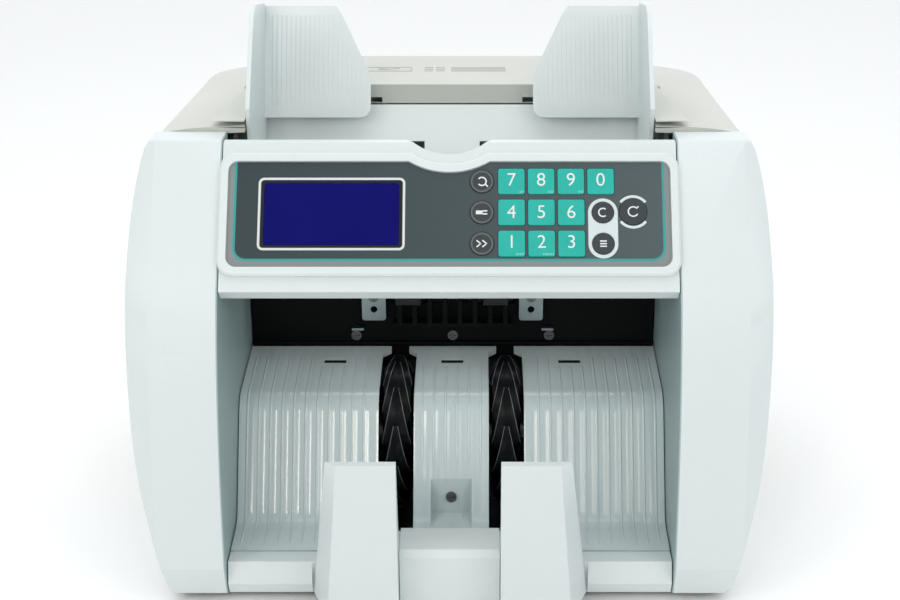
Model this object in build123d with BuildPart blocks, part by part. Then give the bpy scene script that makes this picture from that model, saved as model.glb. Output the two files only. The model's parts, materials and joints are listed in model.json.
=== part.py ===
import os
from math import cos, hypot, radians, sin

from build123d import *

os.makedirs("parts", exist_ok=True)

# Millimetres. +X is the operator's right, the front faces -Y, +Z is up and Z = 0 is the bench.

# Overall body
half_width = 144.3  # widest half width of the covers
back_y = 118.0  # rear face of the rear cover
top_z = 202.7  # flat top of the pillars
crest_z = 207.8  # top of the arched rear cover
foot_height = 4.0
cover_wall = 3.0
seam_gap = 0.4  # shadow gap between neighbouring covers
seam_y = -28.0  # where the side covers end and the rear cover begins
easy_gap = 0.3  # gap between pieces that only stand beside each other

# Pocket
pocket_half_width = 102.5
pocket_wall = 2.5
lip_y = -83.0  # the pocket's top front edge
lip_z = 145.0

# Control panel
panel_slant = 69.6  # length of the panel up its slope
panel_tilt = 35.0  # degrees from vertical
frame_width = 206.0
frame_height = 57.0
frame_plate = 1.2
frame_rim = 4.0
frame_lift = 0.6  # the frame's middle above the panel's middle
frame_corner = 7.0
frame_rise = 2.6
overlay_thickness = 0.4
bezel_wall = 2.5
dip_centre = 55.0  # height up the panel of the centre that the finger dip's arcs share
frame_dip_radius = 31.0
bezel_dip_radius = 26.0

# Keys
key_side = 12.0
key_pitch = 13.3
key_row_pitch = 14.4
round_key = 10.6
key_clearance = 0.2
key_proud = 0.5
key_flange = 0.9
key_flange_gap = 0.05
key_rim = 0.5  # how far the flange reaches past the cap
display_length = 60.0
display_height = 28.6
display_centre = -52.5

# Hopper
hopper_back_y = 39.0
hopper_seam_z = 198.0
tray_foot_y = -2.0
tray_foot_z = 140.0
tray_wall = 2.5
tray_half_width = 103.5
guide_wall = 2.0
guide_half_gap = 92.0  # inner face of each note guide at rest
guide_reach = 52.0  # width of the ribbed plate of a guide
guide_slot_end = 35.0
arm_width = 6.0
arm_thick = 2.0
pinion_radius = 8.0
pinion_y = 64.0
mesh_gap = 0.1
post_radius = 2.5
running_gap = 0.05  # radial gap of a shaft in its hole

# Chassis and drive
chassis_x = 106.0
chassis_wall = 2.0
base_wall = 3.0
shaft_radius = 4.0
pickup_y, pickup_z, pickup_radius = 28.0, 160.0, 18.0
feed_y, feed_z, feed_radius = 24.0, 118.0, 18.0
retard_y, retard_z, retard_radius = -6.5, 120.0, 11.5
roller_x = 21.5
pickup_width = 13.0
feed_width = 16.0
belt_width = 6.0
belt_thick = 1.5
belt_x = 116.0
drive_pulley_radius = 14.0
pickup_pulley_radius = 10.0
pulley_flange = 1.2
motor_y, motor_z, motor_radius, motor_length = 72.0, 60.0, 22.0, 54.0
motor_pulley_radius = 9.0
motor_shaft_radius = 3.0

# Stacker
stacker_y, stacker_z, impeller_radius = -22.0, 46.0, 38.0
impeller_x = 26.5
impeller_width = 14.0
impeller_hub_radius = 11.0
vane_count = 12
vane_thick = 2.2
slot_width = 17.0
slot_neck = 9.0
plate_wall = 2.5
plate_gap = 0.5
back_wall_y = 9.5
back_wall_thick = 2.5

# Front stoppers
finger_inner_x = 23.0
finger_foot_width = 37.0
finger_top_width = 31.0
finger_front_y = -125.0
finger_back_y = -104.0
finger_top_z = 80.0
sill_top_z = 20.0
block_top_z = 32.5

# Derived values
slope = radians(panel_tilt)
panel_top_y = lip_y + panel_slant * sin(slope)
panel_top_z = lip_z + panel_slant * cos(slope)
panel_mid_y = (lip_y + panel_top_y) / 2
panel_mid_z = (lip_z + panel_top_z) / 2
cover_floor = foot_height
base_front = 100.0  # how far the base plate reaches in front of the origin
inner_wall_x = pocket_half_width + pocket_wall
inner_lip_x = tray_half_width
guide_slot_inset = 21.0  # the slots start this far inward of the fences
rack_low_z = 189.0
rack_height = 6.5


def panel_plane(height):
    """The panel's plane: local x is +X, local y runs up the slope, raised by height."""
    plane = Plane(
        origin=(0, panel_mid_y, panel_mid_z),
        x_dir=(1, 0, 0),
        z_dir=(0, -cos(slope), sin(slope)),
    )
    return plane.offset(height)


def across(y_back):
    """The upright plane that faces the front and stands at y_back."""
    return Plane.XZ.offset(-y_back)


def finish(block, label):
    """Labels a finished piece and writes it."""
    block.part.label = label
    export_step(block.part, f"parts/{label}.step")


def write(part, label):
    """Labels a finished copy and writes it."""
    part.label = label
    export_step(part, f"parts/{label}.step")


def barrel_face(y_back, inset, floor):
    """Front view of the bellied side covers, both sides, from floor up to the flat top."""
    side = half_width - inset
    top = top_z - inset
    with BuildSketch(across(y_back)) as face:
        with BuildLine():
            Spline(
                (side - 14.6, cover_floor + 4),
                (side - 9.9, 30),
                (side - 4.0, 60),
                (side - 1.3, 90),
                (side, 120),
                (side, 150),
                (side - 2.0, 180),
                (side - 6.0, top - 4),
            )
            Polyline(
                (side - 6.0, top - 4),
                (side - 8.5, top),
                (0, top),
                (0, floor),
                (side - 17.6, floor),
                (side - 14.6, cover_floor + 4),
            )
        make_face()
        mirror(about=Plane.YZ)
    return face.sketch


def arch_face(y, inset, floor, fall):
    """Right half of the arched rear cover at y; fall takes its shoulder down and in."""
    side = half_width - seam_gap - inset
    top = crest_z - inset
    with BuildSketch(across(y)) as face:
        with BuildLine():
            Spline(
                (side - 14.6, cover_floor + 4),
                (side - 9.9, 30),
                (side - 4.0, 60),
                (side - 1.3, 90),
                (side, 120),
                (side, 150),
                (side - 2.0, 180),
                (side - 5.0 - 0.6 * fall, top - 13.6 - 0.8 * fall),
            )
            Spline(
                (side - 5.0 - 0.6 * fall, top - 13.6 - 0.8 * fall),
                (side - 9.0 - 0.7 * fall, top - 7.6 - fall),
                (side - 18.0 - 0.8 * fall, top - 4.6 - fall),
                (side - 36.0 - 0.6 * fall, top - 3.0 - 0.85 * fall),
                (side - 66.0 - 0.3 * fall, top - 1.2 - 0.4 * fall),
                (side - 100.0, top),
                tangents=[(-0.4, 1.0), (-1.0, 0.0)],
            )
            Polyline(
                (side - 100.0, top),
                (0, top),
                (0, floor),
                (side - 17.6, floor),
                (side - 14.6, cover_floor + 4),
            )
        make_face()
    return face.sketch


def pillar_side(x, inset, floor, back):
    """Side view of a pillar: the swelling front, the panel's slope and the flat top."""
    front = lip_y + inset
    with BuildSketch(Plane.YZ.offset(x)) as face:
        with BuildLine():
            Spline(
                (front - 26.0, cover_floor + 15),
                (front - 25.0, 34),
                (front - 22.0, 63),
                (front - 18.0, 87),
                (front - 10.5, 117),
                (front, lip_z),
            )
            Polyline(
                (front, lip_z),
                (panel_top_y + inset, panel_top_z),
                (panel_top_y + inset + 1.2, top_z - min(inset, cover_wall)),
                (back, top_z - min(inset, cover_wall)),
                (back, floor),
                (front - 22.0, floor),
                (front - 26.0, cover_floor + 15),
            )
        make_face()
    return face.sketch


# Side covers: bellied pillars with a bevelled front corner, each with the pocket's wall
corner_x = half_width - 11.0
corner_back = 6.0
beyond_x = half_width + 6.0


def pillar_body(inner_x, inset, floor, back):
    """The right pillar, or the hollow in it, before the barrel form trims it."""
    bevel = corner_back * (beyond_x - corner_x) / (half_width - corner_x)
    face_x = corner_x - inset
    with BuildPart() as body:
        extrude(pillar_side(inner_x, inset, floor, back), amount=face_x - inner_x)
        loft(
            [
                pillar_side(face_x, inset, floor, back),
                pillar_side(beyond_x - inset, inset + bevel, floor, back),
            ]
        )
        extrude(barrel_face(back, inset, floor), amount=400, mode=Mode.INTERSECT)
    return body.part


with BuildPart() as right_side_cover:
    add(pillar_body(pocket_half_width, 0, cover_floor, seam_y))
    add(pillar_body(inner_wall_x, cover_wall, -10, back_y), mode=Mode.SUBTRACT)
    with BuildSketch(Plane.YZ.offset(pocket_half_width)):
        with BuildLine():
            Polyline(
                (seam_y, cover_floor),
                (back_wall_y + back_wall_thick, cover_floor),
                (back_wall_y + back_wall_thick, 112),
                (seam_y, 128),
                close=True,
            )
        make_face()
    extrude(amount=pocket_wall)
    with BuildSketch(Plane.YZ.offset(pocket_half_width)):
        with Locations((0, cover_floor)):
            Rectangle(2 * base_front, 2 * (base_wall + easy_gap))
        with Locations((stacker_y, stacker_z), (retard_y, retard_z)):
            Circle(shaft_radius + 2)
    extrude(amount=pocket_wall, mode=Mode.SUBTRACT)
finish(right_side_cover, "right_side_cover")
write(mirror(right_side_cover.part, about=Plane.YZ), "left_side_cover")


# Rear cover: arched shell with the hopper's mouth, a door opening and holes for the fittings
crest_round = 20.0
shoulder_fall = 6.4  # how much lower the shoulders are at the back than at the front
corner_round = 22.0
rear_front_y = seam_y + seam_gap
door_half_width = 80.0
door_low_z, door_high_z = 62.0, 152.0
door_gap = 0.5
hinge_radius = cover_wall / 2
hinge_pin_radius = 0.9
hinge_y = back_y - hinge_radius
inlet_x, inlet_z = -72.0, 36.0
inlet_width, inlet_height, inlet_depth = 24.0, 18.0, 16.0
rocker_x = -40.0
rocker_width, rocker_height = 12.0, 18.0
fitting_plate_width, fitting_plate_height = 62.0, 26.0
knob_x, knob_z = 104.0, 160.0
knob_shaft_radius = 3.0
lip_thick = 2.5
slot_low_z = hopper_seam_z + 0.5
slot_high_z = slot_low_z + arm_thick + 0.8
mouth_half_width = guide_half_gap + guide_wall + 0.6


def rear_body(inset, front, floor):
    """The rear shell, or the hollow in it: arch, rounded crest and rounded rear corners."""
    back = back_y - inset
    side = half_width - seam_gap - inset + 2
    with BuildPart() as body:
        loft([arch_face(front, inset, floor, 0), arch_face(back, inset, floor, shoulder_fall)], ruled=True)
        mirror(about=Plane.YZ)
        with BuildSketch(Plane.YZ.offset(-beyond_x)) as profile:
            with Locations(((front + back) / 2, (floor + crest_z - inset) / 2)):
                Rectangle(back - front, crest_z - inset - floor)
            fillet(profile.vertices().sort_by(lambda v: v.X + v.Y)[-1], crest_round - inset)
        extrude(amount=2 * beyond_x, mode=Mode.INTERSECT)
        with BuildSketch(Plane.XY.offset(floor)) as plan:
            with Locations((0, (front + back) / 2)):
                Rectangle(2 * side, back - front)
            fillet(plan.vertices().group_by(Axis.Y)[-1], corner_round - inset)
        extrude(amount=crest_z + 20, mode=Mode.INTERSECT)
    return body.part


with BuildPart() as rear_cover:
    add(rear_body(0, rear_front_y, cover_floor))
    add(rear_body(cover_wall, rear_front_y - 1, -10), mode=Mode.SUBTRACT)
    # hopper's mouth
    with BuildSketch(Plane.XY.offset(crest_z + 10)):
        with Locations((0, rear_front_y)):
            Rectangle(2 * mouth_half_width, 2 * (hopper_back_y - rear_front_y))
    extrude(amount=-60, mode=Mode.SUBTRACT)
    # lip behind the hopper, with the slots that the guides' arms pass
    with BuildSketch(across(hopper_back_y + lip_thick)):
        with Locations((0, (crest_z - 1 + hopper_seam_z + easy_gap) / 2)):
            Rectangle(2 * inner_lip_x, crest_z - 1 - hopper_seam_z - easy_gap)
        slot_start = guide_half_gap - guide_slot_inset
        for sign in (1, -1):
            with Locations((sign * (slot_start + guide_slot_end) / 2, (slot_low_z + slot_high_z) / 2)):
                Rectangle(slot_start - guide_slot_end, slot_high_z - slot_low_z, mode=Mode.SUBTRACT)
    extrude(amount=lip_thick)
    # post that the pinion turns on
    with BuildSketch(Plane.XY.offset(rack_low_z - 1)):
        with Locations((0, pinion_y)):
            Circle(post_radius)
    extrude(amount=crest_z - 1 - rack_low_z + 1)
    # rear openings
    with BuildSketch(across(back_y)):
        with Locations((0, (door_low_z + door_high_z) / 2)):
            Rectangle(2 * door_half_width, door_high_z - door_low_z)
        with Locations((inlet_x, inlet_z)):
            Rectangle(inlet_width + 2 * easy_gap, inlet_height + 2 * easy_gap)
        with Locations((rocker_x, inlet_z)):
            Rectangle(rocker_width + 4, rocker_height + 4)
        with Locations((knob_x, knob_z)):
            Circle(knob_shaft_radius + running_gap)
    extrude(amount=cover_wall, mode=Mode.SUBTRACT)
    # sockets for the door's hinge pins
    for sign in (1, -1):
        with BuildSketch(Plane.YZ.offset(sign * door_half_width)):
            with Locations((hinge_y, door_low_z + door_gap + hinge_radius)):
                Circle(hinge_pin_radius + running_gap)
        extrude(amount=sign * 3.2, mode=Mode.SUBTRACT)
finish(rear_cover, "rear_cover")

# Rear door: flat plate whose lower edge is round about its hinge pins
with BuildPart() as rear_door:
    hinge_z = door_low_z + door_gap + hinge_radius
    with BuildSketch(Plane.YZ.offset(-door_half_width + door_gap)):
        with Locations((hinge_y, hinge_z)):
            Circle(hinge_radius)
        with Locations((hinge_y, (hinge_z + door_high_z - door_gap) / 2)):
            Rectangle(2 * hinge_radius, door_high_z - door_gap - hinge_z)
    extrude(amount=2 * (door_half_width - door_gap))
    for sign in (1, -1):
        with BuildSketch(Plane.YZ.offset(sign * (door_half_width - door_gap))):
            with Locations((hinge_y, hinge_z)):
                Circle(hinge_pin_radius)
        extrude(amount=sign * (2.8 + door_gap))
    # finger notch in the top edge
    with BuildSketch(across(back_y)):
        with Locations((0, door_high_z)):
            SlotOverall(30, 12)
    extrude(amount=2 * hinge_radius, mode=Mode.SUBTRACT)
    # ribs inside
    with BuildSketch(across(back_y - cover_wall)):
        with GridLocations(40, 1, 4, 1):
            with Locations((0, (door_low_z + door_high_z) / 2)):
                Rectangle(1.6, 60)
    extrude(amount=3)
finish(rear_door, "rear_door")


# Base plate and feet
foot_radius = 8.0
foot_x, foot_front_y, foot_rear_y = 108.0, -70.0, 92.0
base_half_width = half_width - 18.0 - cover_wall - 0.5
base_top_z = cover_floor + base_wall

with BuildPart() as base_plate:
    with BuildSketch(Plane.XY.offset(cover_floor)) as outline:
        with Locations((0, (back_y - cover_wall - easy_gap - base_front) / 2)):
            Rectangle(2 * base_half_width, back_y - cover_wall - easy_gap + base_front)
        fillet(outline.vertices().group_by(Axis.Y)[-1], corner_round - cover_wall)
    extrude(amount=base_wall)
finish(base_plate, "base_plate")

foot_spots = [(x, y) for x in (-foot_x, foot_x) for y in (foot_front_y, foot_rear_y)]
with BuildPart() as rubber_feet:
    with BuildSketch():
        with Locations(*foot_spots):
            Circle(foot_radius)
    extrude(amount=foot_height)
    chamfer(rubber_feet.edges().group_by(Axis.Z)[0], 0.8)
finish(rubber_feet, "rubber_feet")

# Chassis plates, drilled for the shafts that run across the machine
chassis_top_z = 182.0
chassis_front_y, chassis_rear_y = -44.0, 94.0
shaft_spots = [(stacker_y, stacker_z), (feed_y, feed_z), (pickup_y, pickup_z)]
with BuildPart() as right_chassis_plate:
    with BuildSketch(Plane.YZ.offset(chassis_x)) as side:
        with BuildLine():
            Polyline(
                (chassis_front_y, base_top_z),
                (chassis_rear_y, base_top_z),
                (chassis_rear_y, chassis_top_z - 40),
                (chassis_rear_y - 40, chassis_top_z),
                (pickup_y - 14, chassis_top_z),
                (retard_y - 14, retard_z + 14),
                (chassis_front_y, stacker_z + 26),
                close=True,
            )
        make_face()
        with Locations(*shaft_spots):
            Circle(shaft_radius + running_gap, mode=Mode.SUBTRACT)
        with Locations((motor_y, motor_z)):
            Circle(motor_shaft_radius + 1, mode=Mode.SUBTRACT)
        with Locations((retard_y, retard_z)):
            Circle(shaft_radius - 1 + running_gap, mode=Mode.SUBTRACT)
    extrude(amount=chassis_wall)
finish(right_chassis_plate, "right_chassis_plate")
write(mirror(right_chassis_plate.part, about=Plane.YZ), "left_chassis_plate")


def turned(x_from, x_to, y, z, radius, bore=0.0):
    """A cylinder, bored if asked, lying along X from x_from to x_to."""
    with BuildPart() as piece:
        with BuildSketch(Plane.YZ.offset(x_from)):
            with Locations((y, z)):
                Circle(radius)
                if bore:
                    Circle(bore, mode=Mode.SUBTRACT)
        extrude(amount=x_to - x_from)
    return piece.part


# Shafts, with the rollers that are pressed on them
shaft_end_x = belt_x + belt_width / 2 + 2
plain_end_x = chassis_x + chassis_wall + 1
with BuildPart() as feed_shaft:
    add(turned(-shaft_end_x, shaft_end_x, feed_y, feed_z, shaft_radius))
finish(feed_shaft, "feed_shaft")


def roller_pair(y, z, radius, width, bore):
    """Two rollers, one each side of the middle."""
    with BuildPart() as pair:
        for sign in (-1, 1):
            middle = sign * roller_x
            add(turned(middle - width / 2, middle + width / 2, y, z, radius, bore))
    return pair.part


write(roller_pair(pickup_y, pickup_z, pickup_radius, pickup_width, shaft_radius), "pickup_rollers")
write(roller_pair(feed_y, feed_z, feed_radius, feed_width, shaft_radius), "feed_rollers")
with BuildPart() as retard_rollers:
    add(roller_pair(retard_y, retard_z, retard_radius, feed_width - 4, 0))
    add(turned(-plain_end_x, plain_end_x, retard_y, retard_z, shaft_radius - 1))
finish(retard_rollers, "retard_rollers")


def pulley(x, y, z, radius, bore):
    """A flanged belt pulley lying along X, centred on x."""
    edge = belt_width / 2 + 0.4
    with BuildPart() as wheel:
        add(turned(x - edge, x + edge, y, z, radius, bore))
        for sign in (-1, 1):
            near, far = sorted((x + sign * edge, x + sign * (edge + pulley_flange)))
            add(turned(near, far, y, z, radius + belt_thick + 1, bore))
    return wheel.part


stacker_rod = turned(-shaft_end_x, plain_end_x, stacker_y, stacker_z, shaft_radius)
stacker_wheel = pulley(-belt_x, stacker_y, stacker_z, drive_pulley_radius, shaft_radius)
write(Compound(children=[stacker_rod, stacker_wheel]), "stacker_shaft")
with BuildPart() as feed_pulleys:
    add(pulley(-belt_x, feed_y, feed_z, drive_pulley_radius, shaft_radius))
    add(pulley(belt_x, feed_y, feed_z, pickup_pulley_radius, shaft_radius))
finish(feed_pulleys, "feed_pulleys")
pickup_rod = turned(-plain_end_x, shaft_end_x, pickup_y, pickup_z, shaft_radius)
pickup_wheel = pulley(belt_x, pickup_y, pickup_z, pickup_pulley_radius, shaft_radius)
write(Compound(children=[pickup_rod, pickup_wheel]), "pickup_shaft")

# Motor on the left chassis plate, its pulley and shaft as one turned piece
motor_face_x = -chassis_x + 1
motor_shaft_reach = 20.0
with BuildPart() as motor_pulley:
    add(pulley(-belt_x, motor_y, motor_z, motor_pulley_radius, 0))
    add(
        turned(
            -belt_x, motor_face_x + motor_shaft_reach, motor_y, motor_z, motor_shaft_radius
        )
    )
finish(motor_pulley, "motor_pulley")
with BuildPart() as main_motor:
    add(turned(motor_face_x + 0.2, motor_face_x + motor_length, motor_y, motor_z, motor_radius))
    add(
        turned(
            motor_face_x, motor_face_x + motor_shaft_reach + 1, motor_y, motor_z,
            motor_shaft_radius + running_gap,
        ),
        mode=Mode.SUBTRACT,
    )
    with BuildSketch(Plane.XY.offset(base_top_z)):
        with Locations((motor_face_x + motor_length / 2, motor_y)):
            Rectangle(motor_length - 14, 2 * motor_radius - 10)
    extrude(amount=motor_z - motor_radius - base_top_z + 4)
finish(main_motor, "main_motor")


def belt(x, wheels):
    """A flat loop round wheels given as (y, z, radius), clear of each by the easy gap."""
    low = x - belt_width / 2
    with BuildPart() as loop_part:
        for sign, extra in ((1, easy_gap + belt_thick), (-1, easy_gap)):
            with BuildSketch(Plane.YZ.offset(low)) as loop:
                with BuildLine():
                    for y, z, radius in wheels:
                        CenterArc((y, z), radius + extra, 0, 360)
                make_hull()
            extrude(amount=belt_width, mode=Mode.ADD if sign > 0 else Mode.SUBTRACT)
    return loop_part.part


drive_wheels = [
    (stacker_y, stacker_z, drive_pulley_radius),
    (feed_y, feed_z, drive_pulley_radius),
    (motor_y, motor_z, motor_pulley_radius),
]
pickup_wheels = [
    (feed_y, feed_z, pickup_pulley_radius),
    (pickup_y, pickup_z, pickup_pulley_radius),
]
write(belt(-belt_x, drive_wheels), "drive_belt")
write(belt(belt_x, pickup_wheels), "pickup_belt")

# Electronics on the floor
board_thick = 1.6
board_low_z = base_top_z + 6
with BuildPart() as main_board:
    with BuildSketch(Plane.XY.offset(board_low_z)):
        with Locations((30, 54)):
            Rectangle(120, 66)
    extrude(amount=board_thick)
    with BuildSketch(Plane.XY.offset(board_low_z + board_thick)):
        with Locations((30, 54), (62, 40), (-8, 66)):
            Rectangle(18, 18)
    extrude(amount=2.2)
    with BuildSketch(Plane.XY.offset(base_top_z)):
        with Locations((30, 54)):
            with GridLocations(110, 56, 2, 2):
                Circle(3)
    extrude(amount=board_low_z - base_top_z)
finish(main_board, "main_board")
with BuildPart() as power_board:
    with BuildSketch(Plane.XY.offset(base_top_z)):
        with Locations((-72, 14)):
            Rectangle(56, 56)
    extrude(amount=board_thick + 2)
    with BuildSketch(Plane.XY.offset(base_top_z + board_thick + 2)):
        with Locations((-78, 20)):
            Rectangle(30, 26)
    extrude(amount=22)
finish(power_board, "power_board")

# Mains inlet and rocker on one plate at the back
plate_proud = 2.0
inlet_mid_x = (inlet_x - inlet_width / 2 + rocker_x + rocker_width / 2) / 2
rocker_pin_radius = 1.0
with BuildPart() as power_inlet:
    with BuildSketch(across(back_y + plate_proud)):
        with Locations((inlet_mid_x, inlet_z)):
            RectangleRounded(fitting_plate_width, fitting_plate_height, 2)
    extrude(amount=plate_proud)
    with BuildSketch(across(back_y)):
        with Locations((inlet_x, inlet_z)):
            Rectangle(inlet_width, inlet_height)
        with Locations((rocker_x, inlet_z)):
            Rectangle(rocker_width + 3.4, rocker_height + 3.4)
    extrude(amount=inlet_depth)
    with BuildSketch(across(back_y + plate_proud)):
        with Locations((inlet_x, inlet_z)):
            RectangleRounded(inlet_width - 3, inlet_height - 3, 2)
        with Locations((rocker_x, inlet_z)):
            Rectangle(rocker_width + 0.6, rocker_height + 0.6)
    extrude(amount=inlet_depth, mode=Mode.SUBTRACT)
    with BuildSketch(Plane.YZ.offset(rocker_x - rocker_width / 2 - 1.6)):
        with Locations((back_y, inlet_z)):
            Circle(rocker_pin_radius + running_gap)
    extrude(amount=rocker_width + 3.2, mode=Mode.SUBTRACT)
    # contact blades
    with BuildSketch(across(back_y + plate_proud - inlet_depth)):
        with Locations((inlet_x, inlet_z + 2.5)):
            Rectangle(2, 4)
        with Locations((inlet_x - 6, inlet_z - 2), (inlet_x + 6, inlet_z - 2)):
            Rectangle(2, 4)
    extrude(amount=-10)
finish(power_inlet, "power_inlet")

rocker_tilt = 8.0
with BuildPart() as power_rocker:
    side_plane = Plane(
        origin=(rocker_x - rocker_width / 2, back_y, inlet_z), x_dir=(0, 1, 0), z_dir=(1, 0, 0)
    )
    with BuildSketch(side_plane):
        with BuildLine():
            Polyline(
                (-3, -rocker_height / 2 + 1.2),
                (3.4, -rocker_height / 2 + 1.2),
                (2.2, 0),
                (3.4, rocker_height / 2 - 1.2),
                (-3, rocker_height / 2 - 1.2),
                (-6, 0),
                close=True,
            )
        make_face()
    extrude(amount=rocker_width)
    add(
        turned(
            rocker_x - rocker_width / 2 - 1.4,
            rocker_x + rocker_width / 2 + 1.4,
            back_y,
            inlet_z,
            rocker_pin_radius,
        )
    )
write(
    power_rocker.part.rotate(Axis((0, back_y, inlet_z), (1, 0, 0)), rocker_tilt), "power_rocker"
)

# Feed gap knob on the rear, held by a collar inside
knob_radius = 11.0
knob_depth = 6.6
with BuildPart() as gap_knob:
    with BuildSketch(across(back_y + easy_gap + knob_depth)):
        with Locations((knob_x, knob_z)):
            Circle(knob_radius)
            with PolarLocations(knob_radius + 1.2, 12):
                Circle(2.2, mode=Mode.SUBTRACT)
    extrude(amount=knob_depth)
    with BuildSketch(across(back_y + easy_gap + knob_depth)):
        with Locations((knob_x, knob_z + knob_radius / 2)):
            Rectangle(1.4, knob_radius * 0.7)
    extrude(amount=0.8, mode=Mode.SUBTRACT)
    with BuildSketch(across(back_y + easy_gap)):
        with Locations((knob_x, knob_z)):
            Circle(knob_shaft_radius)
    extrude(amount=cover_wall + 2 * easy_gap + 2)
    with BuildSketch(across(back_y - cover_wall - easy_gap)):
        with Locations((knob_x, knob_z)):
            Circle(knob_shaft_radius + 3)
    extrude(amount=2)
finish(gap_knob, "gap_knob")


# Stacker plate: one bent sheet, high at the back and falling to the sills
plate_half_width = pocket_half_width - plate_gap
plate_back = (6, 80)
plate_brow = (-43, 75)
plate_heel = (-72, 22.5)
plate_toe = (-94, 20.5)
brow_radius, heel_radius = 14.0, 10.0
slot_front_y, slot_wide_y, neck_y = -79.0, -1.0, 3.0
window_x, window_width, window_depth, window_y = 58.5, 11.0, 4.0, -9.0
recess_half_width, recess_back_y, recess_floor_z = 9.8, -62.0, 22.0
recess_wall = 1.5

with BuildPart() as stacker_plate:
    with BuildSketch(Plane.YZ.offset(-plate_half_width)):
        with BuildLine():
            FilletPolyline(
                plate_back, plate_brow, plate_heel, plate_toe, radius=(brow_radius, heel_radius)
            )
            offset(amount=plate_wall, side=Side.LEFT)
        make_face()
    extrude(amount=2 * plate_half_width)
    # liner of the sensor's recess
    with BuildSketch(Plane.YZ.offset(-recess_half_width - recess_wall)):
        with BuildLine():
            Polyline(
                (recess_back_y + recess_wall, recess_floor_z - recess_wall),
                (recess_back_y + recess_wall, 40),
                (recess_back_y - 1.0, 38),
                (plate_heel[0] + 0.5, plate_heel[1] + 1),
                (plate_heel[0] - 6, recess_floor_z - recess_wall),
                close=True,
            )
        make_face()
    extrude(amount=2 * (recess_half_width + recess_wall))
    with BuildSketch(Plane.YZ.offset(-recess_half_width)):
        with BuildLine():
            Polyline(
                (recess_back_y, recess_floor_z),
                (recess_back_y, 44),
                (plate_heel[0] - 20, 44),
                (plate_heel[0] - 20, recess_floor_z),
                close=True,
            )
        make_face()
    extrude(amount=2 * recess_half_width, mode=Mode.SUBTRACT)
    # slots that the impellers stand in, narrowed at the back
    for sign in (1, -1):
        middle = sign * impeller_x
        with BuildSketch(Plane.XY):
            with BuildLine():
                Polyline(
                    (middle - slot_width / 2, slot_front_y),
                    (middle - slot_width / 2, slot_wide_y),
                    (middle - slot_neck / 2, neck_y),
                    (middle - slot_neck / 2, plate_back[0] + 4),
                    (middle + slot_neck / 2, plate_back[0] + 4),
                    (middle + slot_neck / 2, neck_y),
                    (middle + slot_width / 2, slot_wide_y),
                    (middle + slot_width / 2, slot_front_y),
                    close=True,
                )
            make_face()
        extrude(amount=plate_back[1] + 10, mode=Mode.SUBTRACT)
    # sensor windows near the back edge
    with BuildSketch(Plane.XY.offset(plate_brow[1] - 8)):
        with Locations((-window_x, window_y), (0, window_y), (window_x, window_y)):
            Rectangle(window_width, window_depth)
    extrude(amount=20, mode=Mode.SUBTRACT)
finish(stacker_plate, "stacker_plate")


# Impellers: hub and trailing vanes
def impeller(middle):
    """A stacker wheel centred on X = middle; the vanes trail as it turns forwards over the top."""
    sweep = radians(62)
    root, tip = impeller_hub_radius - 1, impeller_radius
    plane = Plane(
        origin=(middle - impeller_width / 2, stacker_y, stacker_z), x_dir=(0, 1, 0), z_dir=(1, 0, 0)
    )
    sides = []
    for half in (0.5, -0.5):
        points = []
        for step in (0, 0.33, 0.67, 1):
            radius = root + (tip - root) * step
            spread = half * vane_thick * (1 - 0.6 * step) / radius
            angle = -sweep * step + spread
            points.append((radius * cos(angle), radius * sin(angle)))
        sides.append(points)
    with BuildSketch() as vane:
        with BuildLine():
            Spline(*sides[0])
            Spline(*sides[1])
            Line(sides[0][0], sides[1][0])
            Line(sides[0][-1], sides[1][-1])
        make_face()
    with BuildPart() as wheel:
        with BuildSketch(plane):
            Circle(impeller_hub_radius)
            with PolarLocations(0, vane_count):
                add(vane.sketch)
            Circle(shaft_radius, mode=Mode.SUBTRACT)
        extrude(amount=impeller_width)
    return wheel.part


write(impeller(impeller_x), "right_impeller")
write(impeller(-impeller_x), "left_impeller")

# Back wall of the pocket, with a comb of ribs below the feed rollers
wall_half_width = pocket_half_width - plate_gap
wall_low_z, wall_high_z = 71.0, 112.0
comb_half_width = 31.0
comb_low_z, comb_front_y, comb_rear_y = 94.0, 2.5, 5.6
rib_count, rib_pitch, rib_width = 8, 7.6, 2.6
screw_x, screw_z = 49.0, 85.0
screw_radius, screw_head = 2.6, 1.4
with BuildPart() as back_wall:
    with BuildSketch(across(back_wall_y + back_wall_thick)):
        with Locations((0, (wall_low_z + wall_high_z) / 2)):
            Rectangle(2 * wall_half_width, wall_high_z - wall_low_z)
        with Locations((0, wall_high_z)):
            Rectangle(2 * comb_half_width, 20, mode=Mode.SUBTRACT)
    extrude(amount=back_wall_thick)
    with BuildSketch(across(back_wall_y)):
        with Locations((0, plate_back[1] + 1.2)):
            Rectangle(2 * wall_half_width, 1.4)
    extrude(amount=back_wall_y - plate_back[0] - plate_gap)
    with BuildSketch(across(back_wall_y)):
        with Locations((0, comb_low_z - 1)):
            Rectangle(2 * comb_half_width - 2, 2)
    extrude(amount=back_wall_y - comb_front_y)
    with BuildSketch(across(comb_rear_y)):
        with Locations((0, (comb_low_z + wall_high_z) / 2)):
            with GridLocations(rib_pitch, 1, rib_count, 1):
                Rectangle(rib_width, wall_high_z - comb_low_z)
    extrude(amount=comb_rear_y - comb_front_y)
finish(back_wall, "back_wall")

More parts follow.
